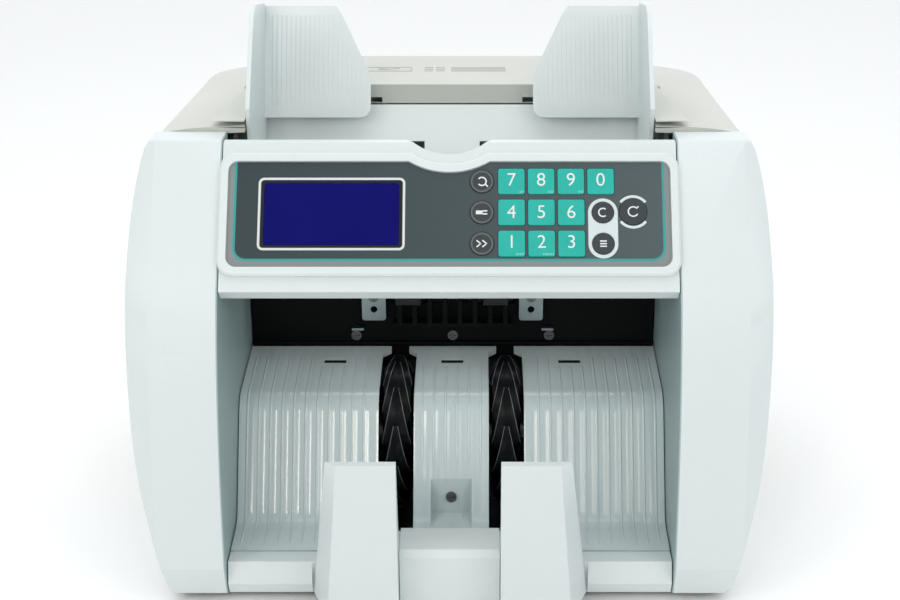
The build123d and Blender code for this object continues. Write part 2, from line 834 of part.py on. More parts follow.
bracket_near_x, bracket_width = 33.5, 12.0
bracket_low_z, bracket_y, bracket_thick = 95.0, 4.0, 1.2
tab_x, tab_z, tab_width = 48.0, 89.5, 6.0
with BuildPart() as sensor_brackets:
    for sign in (1, -1):
        middle = sign * (bracket_near_x + bracket_width / 2)
        with BuildSketch(across(bracket_y + bracket_thick)) as plate:
            with Locations((middle, (bracket_low_z + wall_high_z) / 2)):
                Rectangle(bracket_width, wall_high_z - bracket_low_z)
            fillet(plate.vertices().group_by(Axis.Z)[0], 1.5)
            with Locations((middle, bracket_low_z + 6)):
                Circle(1.7, mode=Mode.SUBTRACT)
        extrude(amount=bracket_thick)
        with BuildSketch(across(back_wall_y)):
            with Locations((middle, wall_high_z - 2)):
                Rectangle(bracket_width - 2, bracket_thick)
            with Locations((sign * tab_x, tab_z)):
                Rectangle(tab_width, bracket_thick)
        extrude(amount=back_wall_y - bracket_y - bracket_thick)
finish(sensor_brackets, "sensor_brackets")

with BuildPart() as machine_screws:
    head_spots = [(-screw_x, screw_z, back_wall_y), (0, screw_z, back_wall_y)]
    head_spots += [(screw_x, screw_z, back_wall_y)]
    for sign in (1, -1):
        bracket_x = sign * (bracket_near_x + bracket_width / 2)
        head_spots.append((bracket_x, bracket_low_z + 13, bracket_y))
    head_spots.append((0, recess_floor_z + 9, recess_back_y))
    for x, z, y in head_spots:
        with BuildSketch(across(y)):
            with Locations((x, z)):
                Circle(screw_radius)
        extrude(amount=screw_head)
        with BuildSketch(across(y - screw_head)):
            with Locations((x, z)):
                Rectangle(0.6, 3.4)
                Rectangle(3.4, 0.6)
        extrude(amount=-0.8, mode=Mode.SUBTRACT)
finish(machine_screws, "machine_screws")

# Sill across the pocket's foot, with the block between the stoppers
sill_half_width = pocket_half_width - plate_gap
sill_back_y = plate_toe[0] - plate_gap
step_z = base_top_z + easy_gap
step_y = -base_front - plate_gap
with BuildPart() as front_sill:
    with BuildSketch(Plane.YZ.offset(-sill_half_width)):
        with BuildLine():
            Polyline(
                (sill_back_y, step_z),
                (sill_back_y, sill_top_z),
                (lip_y - 20.5, sill_top_z),
                (lip_y - 23.5, 10),
                (lip_y - 21, cover_floor),
                (step_y, cover_floor),
                (step_y, step_z),
                close=True,
            )
        make_face()
    extrude(amount=2 * sill_half_width)
    # leave room for the stoppers
    with BuildSketch(Plane.XY):
        for sign in (1, -1):
            with Locations((sign * (finger_inner_x + finger_foot_width / 2 + 1.5), finger_back_y - 6)):
                Rectangle(finger_foot_width + 3 + 2 * easy_gap, 12 + 2 * easy_gap)
    extrude(amount=60, mode=Mode.SUBTRACT)
    with BuildSketch(Plane.YZ.offset(-finger_inner_x + easy_gap)):
        with BuildLine():
            Polyline(
                (sill_back_y, step_z),
                (sill_back_y, block_top_z),
                (lip_y - 29, block_top_z - 1),
                (lip_y - 31.5, block_top_z - 4),
                (lip_y - 31.5, cover_floor + 2),
                (lip_y - 29.5, cover_floor),
                (step_y, cover_floor),
                (step_y, step_z),
                close=True,
            )
        make_face()
    extrude(amount=2 * (finger_inner_x - easy_gap))
finish(front_sill, "front_sill")

# Stoppers: two tapering fingers that the notes stand against
with BuildPart() as right_stopper:
    outer_x = finger_inner_x + finger_foot_width
    top_x = finger_inner_x + finger_top_width
    top_back_y = finger_front_y + 5.5
    with BuildSketch(Plane.XY.offset(cover_floor + 0.2)):
        Polygon(
            (finger_inner_x, finger_back_y), (outer_x + 3, finger_back_y),
            (outer_x - 5, finger_front_y), (finger_inner_x, finger_front_y), align=None,
        )
    with BuildSketch(Plane.XY.offset(finger_top_z)):
        Polygon(
            (finger_inner_x, top_back_y), (top_x, top_back_y),
            (top_x - 5, finger_front_y + 1.5), (finger_inner_x, finger_front_y + 1.5), align=None,
        )
    loft(ruled=True)
finish(right_stopper, "right_stopper")
write(mirror(right_stopper.part, about=Plane.YZ), "left_stopper")


# Front bezel: hollow housing above the pocket, open towards the pillars at its ends
bezel_half_width = pocket_half_width - seam_gap
dip_middle_z = panel_slant / 2
bezel_back_y, bezel_back_low_y = -39.0, -24.0
opening_low, opening_high = -20.3, 23.2
opening_half_width = 93.0


def bezel_side(wall):
    """Side view of the bezel, or of the space inside it."""
    with BuildSketch(Plane.YZ.offset(-bezel_half_width)) as face:
        with BuildLine():
            Polyline(
                (lip_y, lip_z),
                (panel_top_y, panel_top_z),
                (bezel_back_y, panel_top_z),
                (bezel_back_low_y, tray_foot_z + 2),
                (lip_y + 5, lip_z - 5),
                close=True,
            )
        make_face()
        if wall:
            offset(amount=-wall, kind=Kind.INTERSECTION)
    return face.sketch


with BuildPart() as front_bezel:
    extrude(bezel_side(0), amount=2 * bezel_half_width)
    extrude(bezel_side(bezel_wall), amount=2 * bezel_half_width, mode=Mode.SUBTRACT)
    with BuildSketch(panel_plane(1)):
        with Locations((0, (opening_low + opening_high) / 2)):
            Rectangle(2 * opening_half_width, opening_high - opening_low)
    extrude(amount=-bezel_wall - 2, mode=Mode.SUBTRACT)
    # finger dip: a scoop through the top edge, closed behind by its own wall
    with BuildSketch(panel_plane(-bezel_wall)):
        with Locations((0, dip_centre)):
            Circle(bezel_dip_radius + bezel_wall)
        with Locations((0, dip_centre + dip_middle_z - bezel_wall)):
            Rectangle(80, 2 * dip_centre, mode=Mode.SUBTRACT)
    extrude(amount=-12)
    with BuildSketch(panel_plane(5)):
        with Locations((0, dip_centre)):
            Circle(bezel_dip_radius)
    extrude(amount=-40, mode=Mode.SUBTRACT)
    extrude(bezel_side(0), amount=2 * bezel_half_width, mode=Mode.INTERSECT)
finish(front_bezel, "front_bezel")


def panel_outline(height, inset, dip_radius):
    """The panel's rounded outline with the dip in its top edge, on the plane at height."""
    with BuildSketch(panel_plane(height)) as face:
        with Locations((0, frame_lift)):
            RectangleRounded(
                frame_width - 2 * inset, frame_height - 2 * inset, frame_corner - inset * 0.6
            )
        with Locations((0, dip_centre)):
            Circle(dip_radius, mode=Mode.SUBTRACT)
    return face.sketch


# Key layout on the panel: name, column, row and shape
column_x = [27.8 + key_pitch * step for step in range(4)]
row_v = [15.7 - key_row_pitch * step for step in range(3)]
round_column = 14.6
square_keys = {
    "key_7": (column_x[0], row_v[0]),
    "key_8": (column_x[1], row_v[0]),
    "key_9": (column_x[2], row_v[0]),
    "key_0": (column_x[3], row_v[0]),
    "key_4": (column_x[0], row_v[1]),
    "key_5": (column_x[1], row_v[1]),
    "key_6": (column_x[2], row_v[1]),
    "key_1": (column_x[0], row_v[2]),
    "key_2": (column_x[1], row_v[2]),
    "key_3": (column_x[2], row_v[2]),
}
round_keys = {
    "key_detect": (round_column, row_v[0], round_key / 2),
    "key_double": (round_column, row_v[1], round_key / 2),
    "key_speed": (round_column, row_v[2], round_key / 2),
    "key_clear": (column_x[3] + 0.8, row_v[1], round_key / 2 - 0.4),
    "key_batch": (column_x[3] + 0.8, row_v[2], round_key / 2 - 0.4),
    "key_restart": (82.0, row_v[1] + 0.4, round_key / 2 + 0.9),
}


def panel_holes(height, extra):
    """Holes for the display and every key, each larger than its piece by extra."""
    with BuildSketch(panel_plane(height)) as face:
        with Locations((display_centre, 0.7)):
            RectangleRounded(display_length + 2 * extra, display_height + 2 * extra, 1)
        for u, v in square_keys.values():
            with Locations((u, v)):
                RectangleRounded(key_side + 2 * extra, key_side + 2 * extra, 1.2)
        for u, v, radius in round_keys.values():
            with Locations((u, v)):
                Circle(radius + extra)
    return face.sketch


with BuildPart() as display_frame:
    extrude(panel_outline(0, 0, frame_dip_radius), amount=frame_rise)
    chamfer(display_frame.faces().sort_by(Axis((0, 0, 0), (0, -cos(slope), sin(slope))))[-1].edges(), 0.9)
    extrude(
        panel_outline(frame_plate, frame_rim, frame_dip_radius + frame_rim),
        amount=frame_rise,
        mode=Mode.SUBTRACT,
    )
    extrude(panel_holes(0, key_clearance), amount=frame_plate, mode=Mode.SUBTRACT)
finish(display_frame, "display_frame")

with BuildPart() as overlay:
    extrude(
        panel_outline(frame_plate, frame_rim + easy_gap, frame_dip_radius + frame_rim + easy_gap),
        amount=overlay_thickness,
    )
    extrude(panel_holes(frame_plate, key_clearance), amount=overlay_thickness, mode=Mode.SUBTRACT)
finish(overlay, "overlay")

overlay_top = frame_plate + overlay_thickness
with BuildPart() as lcd_window:
    with BuildSketch(panel_plane(0)):
        with Locations((display_centre, 0.7)):
            RectangleRounded(display_length, display_height, 0.9)
    extrude(amount=overlay_top - 0.1)
finish(lcd_window, "lcd_window")

module_depth = 8.0
with BuildPart() as lcd_module:
    with BuildSketch(panel_plane(-seam_gap)):
        with Locations((display_centre, (opening_low + opening_high) / 2)):
            Rectangle(display_length + 16, opening_high - opening_low - 3)
    extrude(amount=-module_depth)
finish(lcd_module, "lcd_module")

mat_depth, board_depth = 2.2, 3.2
keypad_middle = (column_x[0] + column_x[3]) / 2
with BuildPart() as keypad_mat:
    with BuildSketch(panel_plane(-mat_depth)):
        with Locations((keypad_middle, (opening_low + opening_high) / 2)):
            Rectangle(86, opening_high - opening_low - 2)
    extrude(amount=mat_depth - board_depth)
finish(keypad_mat, "keypad_mat")
with BuildPart() as keypad_board:
    with BuildSketch(panel_plane(-board_depth)):
        with Locations((keypad_middle, (opening_low + opening_high) / 2)):
            Rectangle(86, opening_high - opening_low - 2)
    extrude(amount=-board_thick)
finish(keypad_board, "keypad_board")


def key(u, v, radius=0.0):
    """A key cap with the flange that holds it behind the frame; round if radius is given."""
    with BuildPart() as cap:
        with BuildSketch(panel_plane(-key_flange_gap)):
            with Locations((u, v)):
                if radius:
                    Circle(radius + key_rim)
                else:
                    RectangleRounded(key_side + 2 * key_rim, key_side + 2 * key_rim, 1.2)
        extrude(amount=-key_flange)
        with BuildSketch(panel_plane(-key_flange_gap)):
            with Locations((u, v)):
                if radius:
                    Circle(radius)
                else:
                    RectangleRounded(key_side, key_side, 1.1)
        extrude(amount=key_flange_gap + overlay_top + key_proud)
        outward = Axis((0, 0, 0), (0, -cos(slope), sin(slope)))
        chamfer(cap.faces().sort_by(outward)[-1].edges(), 0.25)
    return cap.part


for label, (u, v) in square_keys.items():
    write(key(u, v), label)
for label, (u, v, radius) in round_keys.items():
    write(key(u, v, radius), label)

# Hopper tray: leaning wall with cut-outs for the pickup rollers, and side walls
tray_lean = (hopper_back_y - 2 - tray_foot_y, hopper_seam_z - 0.2 - tray_foot_z)
lean_length = hypot(*tray_lean)
tray_step = (tray_wall * tray_lean[1] / lean_length, -tray_wall * tray_lean[0] / lean_length)
tray_top = (hopper_back_y - 2, hopper_seam_z - 0.2)
tray_back = (tray_top[0] + tray_wall * lean_length / tray_lean[1], tray_top[1])
tray_side_y = -17.0
notch_radius = 12.0
cutout_top_z = 182.0
with BuildPart() as hopper_tray:
    with BuildSketch(Plane.YZ.offset(-tray_half_width)):
        Polygon(
            (tray_foot_y, tray_foot_z), tray_top, tray_back,
            (tray_foot_y + tray_step[0], tray_foot_z + tray_step[1]), align=None,
        )
    extrude(amount=2 * tray_half_width)
    with BuildSketch(Plane.XY.offset(tray_foot_z)):
        for sign in (1, -1):
            with Locations((sign * roller_x, 0)):
                Rectangle(pickup_width + 2.5, 120)
    extrude(amount=cutout_top_z - tray_foot_z, mode=Mode.SUBTRACT)
    for sign in (1, -1):
        with BuildSketch(Plane.YZ.offset(sign * tray_half_width)):
            Polygon(
                (tray_side_y, tray_foot_z + 5), (tray_side_y, tray_top[1]), tray_back,
                (tray_foot_y + tray_step[0], tray_foot_z + tray_step[1]),
                (tray_foot_y, tray_foot_z), align=None,
            )
            with Locations((tray_side_y, tray_top[1])):
                Circle(notch_radius, mode=Mode.SUBTRACT)
        extrude(amount=-sign * 2.0)
    # clear of the rear cover's lip
    with BuildSketch(Plane.YZ.offset(-tray_half_width)):
        with Locations((hopper_back_y - easy_gap + 10, tray_top[1])):
            Rectangle(20, 20)
    extrude(amount=2 * tray_half_width, mode=Mode.SUBTRACT)
finish(hopper_tray, "hopper_tray")

# Note guides: bent sheet with a fence and a ribbed plate, an arm and a moulded rack
plate_low = (24.0, 195.0)
plate_length = 55.0
plate_lean = radians(22.4)
plate_high = (
    plate_low[0] + plate_length * sin(plate_lean), plate_low[1] + plate_length * cos(plate_lean)
)
outer_guide_x = guide_half_gap + guide_wall
plate_inner_x = guide_half_gap - guide_reach
arm_far_x = guide_half_gap - guide_slot_inset - 1.0
arm_low_z = slot_low_z + 0.4
left_rack_y = pinion_y - pinion_radius - 4.0
right_rack_y = pinion_y + pinion_radius
rack_depth = 4.0


def guide(sign):
    """The note guide on the side that sign gives, with its rack beside the pinion."""
    rack_front = left_rack_y if sign < 0 else right_rack_y + mesh_gap
    rack_back = rack_front + rack_depth - (mesh_gap if sign < 0 else 0)
    with BuildPart() as piece:
        with BuildSketch(Plane.YZ.offset(sign * guide_half_gap)):
            Polygon(
                (-18, 160), (9.5, 160), (32, 194), plate_low, plate_high,
                (plate_high[0] - 3, plate_high[1] + 2), (12, 253), (4, 250),
                (-2, 244), (-27, 213), (-24, 200), align=None,
            )
        extrude(amount=sign * guide_wall)
        sheet = Plane(
            origin=(0, plate_low[0], plate_low[1]),
            x_dir=(sign, 0, 0),
            z_dir=(0, -cos(plate_lean) * sign, sin(plate_lean) * sign),
        )
        up = 1 if sign > 0 else -1
        with BuildSketch(sheet) as face:
            Polygon(
                (outer_guide_x, 0), (outer_guide_x, plate_length),
                (plate_inner_x + 17, plate_length), (plate_inner_x + 14, 50.5),
                (plate_inner_x, 21), (plate_inner_x, 0), align=None,
            )
            fillet(face.vertices().sort_by(lambda v: v.X * v.X + v.Y * v.Y / 4)[:1], 5)
        extrude(amount=-up * guide_wall)
        with BuildSketch(Plane.XY.offset(arm_low_z)):
            with Locations((sign * (arm_far_x - arm_width / 2), (plate_low[0] + 3.2 + rack_back) / 2)):
                Rectangle(arm_width, rack_back - plate_low[0] - 3.2)
        extrude(amount=arm_thick)
        with BuildSketch(Plane.XY.offset(rack_low_z)):
            with Locations((sign * (arm_far_x - arm_width / 2), (rack_front + rack_back) / 2)):
                Rectangle(arm_width, rack_back - rack_front)
        extrude(amount=arm_low_z + arm_thick - rack_low_z)
        with BuildSketch(Plane.XY.offset(rack_low_z)):
            with Locations((sign * (arm_far_x - 8) / 2, (rack_front + rack_back) / 2)):
                Rectangle(arm_far_x + 8, rack_back - rack_front)
        extrude(amount=rack_height)
    return piece.part


write(guide(-1), "left_guide")
write(guide(1), "right_guide")
with BuildPart() as guide_pinion:
    with BuildSketch(Plane.XY.offset(rack_low_z)):
        with Locations((0, pinion_y)):
            Circle(pinion_radius)
            Circle(post_radius + running_gap, mode=Mode.SUBTRACT)
    extrude(amount=rack_height)
finish(guide_pinion, "guide_pinion")
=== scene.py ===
import json
import math

import bmesh
import bpy
import numpy as np
from mathutils import Matrix, Vector
from mathutils.bvhtree import BVHTree


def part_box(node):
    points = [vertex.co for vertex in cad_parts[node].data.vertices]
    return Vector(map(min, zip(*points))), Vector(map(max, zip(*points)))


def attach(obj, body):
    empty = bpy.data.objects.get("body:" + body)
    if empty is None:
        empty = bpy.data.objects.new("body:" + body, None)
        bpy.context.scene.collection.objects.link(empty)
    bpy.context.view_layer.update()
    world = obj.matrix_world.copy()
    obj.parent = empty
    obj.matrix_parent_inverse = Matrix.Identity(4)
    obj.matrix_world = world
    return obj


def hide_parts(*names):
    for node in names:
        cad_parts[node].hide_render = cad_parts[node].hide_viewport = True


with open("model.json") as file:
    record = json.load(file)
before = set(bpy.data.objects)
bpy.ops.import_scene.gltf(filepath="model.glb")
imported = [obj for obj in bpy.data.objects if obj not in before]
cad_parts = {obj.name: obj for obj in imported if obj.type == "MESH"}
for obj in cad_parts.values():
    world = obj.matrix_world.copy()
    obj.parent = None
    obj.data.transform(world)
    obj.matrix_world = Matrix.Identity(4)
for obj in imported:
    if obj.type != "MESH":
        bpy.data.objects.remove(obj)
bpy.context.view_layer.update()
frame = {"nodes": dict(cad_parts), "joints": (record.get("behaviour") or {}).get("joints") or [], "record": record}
print("frame loaded:", len(frame["nodes"]), "nodes")

nodes = frame["nodes"]
bodies = frame["record"]["behaviour"]["bodies"]
bodyOf = {node: body for body, members in bodies.items() for node in members}

# The sloping panel's own directions, taken from the way its keys are pressed
pressAxis = next(j["axis"] for j in frame["joints"] if j["name"] == "key_5_press")
outward = -np.array(pressAxis, float)
upSlope = np.array([0.0, outward[2], -outward[1]])


def middle(node):
    low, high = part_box(node)
    return np.array((low + high) / 2)


# The panel's zero: level with the display's middle up the slope, on the machine's centre line
panelZero = middle("lcd_window") * np.array([0, 1, 1])


def onPanel(u, v, lift):
    # zero + u*right + v*upSlope + lift*outward, for numbers or arrays alike
    u, v, lift = np.broadcast_arrays(np.asarray(u, float), v, lift)
    point = panelZero + v[..., None] * upSlope + lift[..., None] * outward
    point[..., 0] = u
    return point


def panelSpot(node):
    # where a node's middle is on the panel, and how far its outer face stands out
    centre = middle(node) - panelZero
    heights = np.array([np.array(v.co) - panelZero for v in nodes[node].data.vertices]) @ outward
    return centre[0], centre @ upSlope, heights.max()


# Shader maths
class Flow:
    # A socket whose + - * / ** add Math nodes, so a formula can be written out

    def __init__(self, tree, socket):
        self.tree, self.socket = tree, socket

    def math(self, operation, *others, swap=False):
        values = [self, *others]
        if swap:
            values.reverse()
        return addNode(self.tree, "ShaderNodeMath", {"operation": operation}, dict(enumerate(values)))

    def __add__(self, other):
        return self.math("ADD", other)

    def __sub__(self, other):
        return self.math("SUBTRACT", other)

    def __rsub__(self, other):
        return self.math("SUBTRACT", other, swap=True)

    def __mul__(self, other):
        return self.math("MULTIPLY", other)

    def __truediv__(self, other):
        return self.math("DIVIDE", other)

    def __rtruediv__(self, other):
        return self.math("DIVIDE", other, swap=True)

    def __pow__(self, other):
        return self.math("POWER", other)

    def __abs__(self):
        return self.math("ABSOLUTE")

    __radd__ = __add__
    __rmul__ = __mul__

    def clamped(self):
        return self.math("MAXIMUM", 0.0).math("MINIMUM", 1.0)

    def below(self, edge, soft):
        # 1 where the value is under edge, falling to 0 over soft
        return ((edge - self) / soft + 0.5).clamped()


def addNode(tree, kind, settings, sockets, out=0):
    # adds a node: its settings first, then the values or links of its sockets
    node = tree.nodes.new(kind)
    for name, value in settings.items():
        setattr(node, name, value)
    for name, value in sockets.items():
        if isinstance(value, Flow):
            tree.links.new(value.socket, node.inputs[name])
        else:
            node.inputs[name].default_value = value
    return Flow(tree, node.outputs[out])


def rgb(colour):
    return (*colour, 1.0)


def mixColour(tree, factor, a, b):
    first, second = (c if isinstance(c, Flow) else rgb(c) for c in (a, b))
    sockets = {0: factor, 6: first, 7: second}
    return addNode(tree, "ShaderNodeMix", {"data_type": "RGBA"}, sockets, out=2)


def newMaterial(name):
    material = bpy.data.materials.new(name)
    material.use_nodes = True
    tree = material.node_tree
    shader = next(n for n in tree.nodes if n.type == "BSDF_PRINCIPLED")
    coords = addNode(tree, "ShaderNodeTexCoord", {}, {}, out=3)
    return material, tree, shader, coords


def feed(tree, shader, **values):
    # sets or links the Principled shader's sockets; underscores stand for spaces
    for name, value in values.items():
        socket = shader.inputs[name.replace("_", " ")]
        if isinstance(value, Flow):
            tree.links.new(value.socket, socket)
        else:
            socket.default_value = value


def noise(tree, coords, scale, detail=2.0, roughness=0.5):
    return addNode(tree, "ShaderNodeTexNoise", {}, {
        "Vector": coords, "Scale": scale, "Detail": detail, "Roughness": roughness,
    })


def bump(tree, height, strength, distance):
    sockets = {"Height": height, "Strength": strength, "Distance": distance}
    return addNode(tree, "ShaderNodeBump", {}, sockets)


def alongX(tree, coords):
    return addNode(tree, "ShaderNodeSeparateXYZ", {}, {"Vector": coords})


def mouldedPlastic(name, look):
    # spark-eroded grain in the bump, slow drift of tone and gloss, faint specks;
    # flute gives a ribbed moulding its ripple across x; a darker tone near the middle is painted shade on the
    # pocket's inner walls
    material, tree, shader, coords = newMaterial(name)
    drift = noise(tree, coords, look["driftScale"], 3.0)
    grain = noise(tree, coords, look["grainScale"], 2.0, 0.6)
    specks = noise(tree, coords, look["grainScale"] * 0.37, 1.0)
    tone = mixColour(tree, drift, look["colour"], look["shade"])
    marked = mixColour(tree, (specks - 0.66).clamped() * 1.2, tone, look["speck"])
    rough = look["rough"] + (drift - 0.5) * 0.10 + (grain - 0.5) * 0.08
    height = grain * look["grain"]
    if "flute" in look:
        flutes = (alongX(tree, coords) * (2 * math.pi / look["flute"])).math("COSINE")
        height = height * 0.2 + flutes * 0.5
    # painted shade: near the middle the colour turns darker, standing in for the shade on the pocket's inner walls
    if "paintedShadeX" in look:
        inner = abs(alongX(tree, coords)).below(look["paintedShadeX"], 0.0001)
        marked = mixColour(tree, inner, marked, look["inside"])
    relief = bump(tree, height, 1.0, look.get("relief", 0.00012))
    feed(
        tree, shader, Base_Color=marked, Roughness=rough, Normal=relief, IOR=1.49,
        Specular_IOR_Level=look.get("specular", 0.5),
    )
    return material


# Colours are linear; the scales are per metre
bodyLook = {
    "colour": (0.655, 0.705, 0.700), "shade": (0.625, 0.680, 0.678), "speck": (0.47, 0.51, 0.52),
    "rough": 0.42, "grain": 0.20, "grainScale": 2200.0, "driftScale": 14.0,
}
coverLook = {**bodyLook, "colour": (0.520, 0.530, 0.485), "shade": (0.490, 0.503, 0.462)}
pocketLook = {
    **bodyLook, "colour": (0.585, 0.655, 0.660), "shade": (0.555, 0.630, 0.638), "rough": 0.16,
    "grain": 0.05, "specular": 0.6, "flute": 0.0056, "relief": 0.00014,
}
# the side covers' plastic, with painted shade darkening their inner walls in the pocket
wallLook = {**bodyLook, "paintedShadeX": 0.1032, "inside": (0.33, 0.42, 0.42)}
bodyPlastic = mouldedPlastic("bodyPlastic", bodyLook)
coverPlastic = mouldedPlastic("coverPlastic", coverLook)
pocketPlastic = mouldedPlastic("pocketPlastic", pocketLook)
wallPlasticPaintedShade = mouldedPlastic("wallPlasticPaintedShade", wallLook)


def blackMoulding(name, rough, tone, specular, coat):
    # black moulding: gloss with fine scuffs that run one way
    material, tree, shader, coords = newMaterial(name)
    stretch = addNode(tree, "ShaderNodeMapping", {}, {"Vector": coords, "Scale": (1.0, 0.12, 0.12)})
    scuffs = noise(tree, stretch, 1400.0, 4.0, 0.65)
    dust = noise(tree, coords, 60.0, 4.0, 0.6)
    colour = mixColour(tree, (dust - 0.45).clamped() * 0.35, tone, tuple(3.0 * c for c in tone))
    feed(
        tree, shader, Base_Color=colour, Roughness=rough + (scuffs - 0.5) * 0.12 + (dust - 0.5) * 0.12,
        Normal=bump(tree, scuffs, 0.08, 0.0001), IOR=1.5, Coat_Weight=coat, Coat_Roughness=0.12,
        Specular_IOR_Level=specular,
    )
    return material


blackGloss = blackMoulding("blackGloss", 0.30, (0.0045, 0.0055, 0.0065), 0.12, 0.0)
# the vanes' rims: a lighter black, a painted highlight of their lit edges
rimPaintedHighlight = blackMoulding("rimPaintedHighlight", 0.28, (0.085, 0.090, 0.092), 0.8, 0.3)
blackSatin = blackMoulding("blackSatin", 0.48, (0.007, 0.008, 0.009), 0.25, 0.0)
wallBlack = blackMoulding("wallBlack", 0.55, (0.004, 0.0045, 0.005), 0.10, 0.0)


def rubberFinish(name):
    # dull rubber with a ground surface
    material, tree, shader, coords = newMaterial(name)
    grind = noise(tree, coords, 900.0, 3.0, 0.7)
    colour = mixColour(tree, grind, (0.012, 0.012, 0.012), (0.035, 0.034, 0.033))
    ground = bump(tree, grind, 0.35, 0.0002)
    feed(tree, shader, Base_Color=colour, Roughness=0.72 + grind * 0.12, Normal=ground)
    return material


def steelFinish(name, colour, stretchX):
    # rolled steel: grain drawn out along one direction, bright where rubbed
    material, tree, shader, coords = newMaterial(name)
    stretch = addNode(tree, "ShaderNodeMapping", {}, {"Vector": coords, "Scale": (stretchX, 1.0, 0.05)})
    grain = noise(tree, stretch, 2500.0, 3.0, 0.6)
    patches = noise(tree, coords, 45.0, 3.0)
    tone = mixColour(tree, patches, colour, tuple(0.8 * c for c in colour))
    feed(
        tree, shader, Base_Color=tone, Metallic=1.0, Roughness=0.28 + grain * 0.14,
        Normal=bump(tree, grain, 0.10, 0.0001),
    )
    return material


def boardFinish(name):
    # green solder mask over copper tracks
    material, tree, shader, coords = newMaterial(name)
    tracks = addNode(
        tree, "ShaderNodeTexBrick", {"offset": 0.5},
        {"Vector": coords, "Scale": 260.0, "Mortar Size": 0.06, "Color1": rgb((1, 1, 1)),
         "Color2": rgb((1, 1, 1)), "Mortar": rgb((0, 0, 0))},
    )
    colour = mixColour(tree, tracks, (0.02, 0.16, 0.07), (0.01, 0.09, 0.04))
    feed(tree, shader, Base_Color=colour, Roughness=0.35, Normal=bump(tree, tracks, 0.2, 0.0001))
    return material


rubber = rubberFinish("rubber")
steel = steelFinish("steel", (0.33, 0.40, 0.41), 1.0)
plated = steelFinish("plated", (0.20, 0.20, 0.19), 0.3)
greenBoard = boardFinish("greenBoard")
print("plain materials made")

# The overlay's printed film
overlayLook = {
    "halfWidth": 0.0962, "low": -0.0218, "high": 0.060, "corner": 0.006, "line": 0.0011,
    "dark": (0.030, 0.045, 0.051), "light": (0.072, 0.094, 0.100), "outer": (0.215, 0.235, 0.235),
    "teal": (0.035, 0.30, 0.28), "ringSize": (0.0328, 0.0168), "ringCorner": 0.0026, "ringLine": 0.0011,
    "ringTone": (0.62, 0.66, 0.64), "windowTone": (0.006, 0.007, 0.012),
    "pill": 0.0066, "pillCorner": 0.0065, "pillTone": (0.60, 0.66, 0.68),
    "crescent": 0.0071, "crescentLine": 0.00060, "crescentEnd": 0.62, "crescentTone": (0.62, 0.68, 0.69),
}


def roundedBox(u, v, halfU, halfV, corner):
    # signed distance to a rounded box about zero
    besideU = abs(u) - (halfU - corner)
    besideV = abs(v) - (halfV - corner)
    outside = (besideU.math("MAXIMUM", 0.0) ** 2.0 + besideV.math("MAXIMUM", 0.0) ** 2.0) ** 0.5
    inside = besideU.math("MAXIMUM", besideV).math("MINIMUM", 0.0)
    return outside + inside - corner


def panelCoords(tree, coords):
    # the object's own coordinates turned into the panel's u and v
    lifted = addNode(tree, "ShaderNodeVectorMath", {"operation": "SUBTRACT"},
                     {0: coords, 1: tuple(float(c) for c in panelZero)})
    v = addNode(tree, "ShaderNodeVectorMath", {"operation": "DOT_PRODUCT"},
                {0: lifted, 1: tuple(float(c) for c in upSlope)}, out=1)
    return alongX(tree, coords), v


def overlayFilm(name, look):
    # printed film: dark field with a teal edge, display outline, pills behind the round keys
    material, tree, shader, coords = newMaterial(name)
    u, v = panelCoords(tree, coords)
    halfV = (look["high"] - look["low"]) / 2
    field = roundedBox(u, v - (look["high"] + look["low"]) / 2, look["halfWidth"], halfV, look["corner"])
    soft = 0.00025
    # painted sheen: the dark field is made lighter towards the right, standing in for the light the film reflects
    # there
    glow = ((u + look["halfWidth"]) / (2 * look["halfWidth"])).clamped()
    colour = mixColour(tree, glow ** 1.3, look["dark"], look["light"])
    colour = mixColour(tree, field.below(-look["line"], soft), look["teal"], colour)
    colour = mixColour(tree, field.below(0.0, soft), look["outer"], colour)

    lcdU, lcdV, _ = panelSpot("lcd_window")
    window = roundedBox(u - float(lcdU), v - float(lcdV), *look["ringSize"], look["ringCorner"])
    ring = abs(window + look["ringLine"] / 2).below(look["ringLine"] / 2, soft)
    colour = mixColour(tree, ring, colour, look["ringTone"])
    colour = mixColour(tree, window.below(-look["ringLine"], soft), colour, look["windowTone"])

    clearU, clearV, _ = panelSpot("key_clear")
    batchV = panelSpot("key_batch")[1]
    pillHigh = float(clearV - batchV) / 2 + look["pill"]
    pill = roundedBox(u - float(clearU), v - float((clearV + batchV) / 2), look["pill"], pillHigh,
                      look["pillCorner"])
    colour = mixColour(tree, pill.below(0.0, soft), colour, look["pillTone"])

    restartU, restartV, _ = panelSpot("key_restart")
    across = u - float(restartU)
    along = v - float(restartV)
    radius = (across ** 2.0 + along ** 2.0) ** 0.5
    ends = abs(along / radius).math("GREATER_THAN", look["crescentEnd"])
    crescent = abs(radius - look["crescent"]).below(look["crescentLine"], soft) * ends
    colour = mixColour(tree, crescent, colour, look["crescentTone"])

    rub = noise(tree, coords, 30.0, 3.0)
    fine = noise(tree, coords, 2600.0, 2.0)
    feed(tree, shader, Base_Color=colour, Roughness=0.38 + rub * 0.12, Specular_IOR_Level=0.30,
         Normal=bump(tree, fine, 0.05, 0.0001))
    return material


def tealKey(name, look):
    # cap of soft teal rubber, drifting slowly in tone, with a satin grain
    material, tree, shader, coords = newMaterial(name)
    drift = noise(tree, coords, 90.0, 2.0)
    fine = noise(tree, coords, 2400.0, 2.0)
    colour = mixColour(tree, drift * 0.85, look["colour"], look["shade"])
    feed(tree, shader, Base_Color=colour, Roughness=0.34 + drift * 0.10, Specular_IOR_Level=0.35,
         Normal=bump(tree, fine, 0.10, 0.0001))
    return material


glassLook = {
    "dots": 1600.0, "dark": (0.0030, 0.0026, 0.060), "lit": (0.0050, 0.0050, 0.125), "glow": 0.45,
    "rough": 0.22, "specular": 0.06,
}


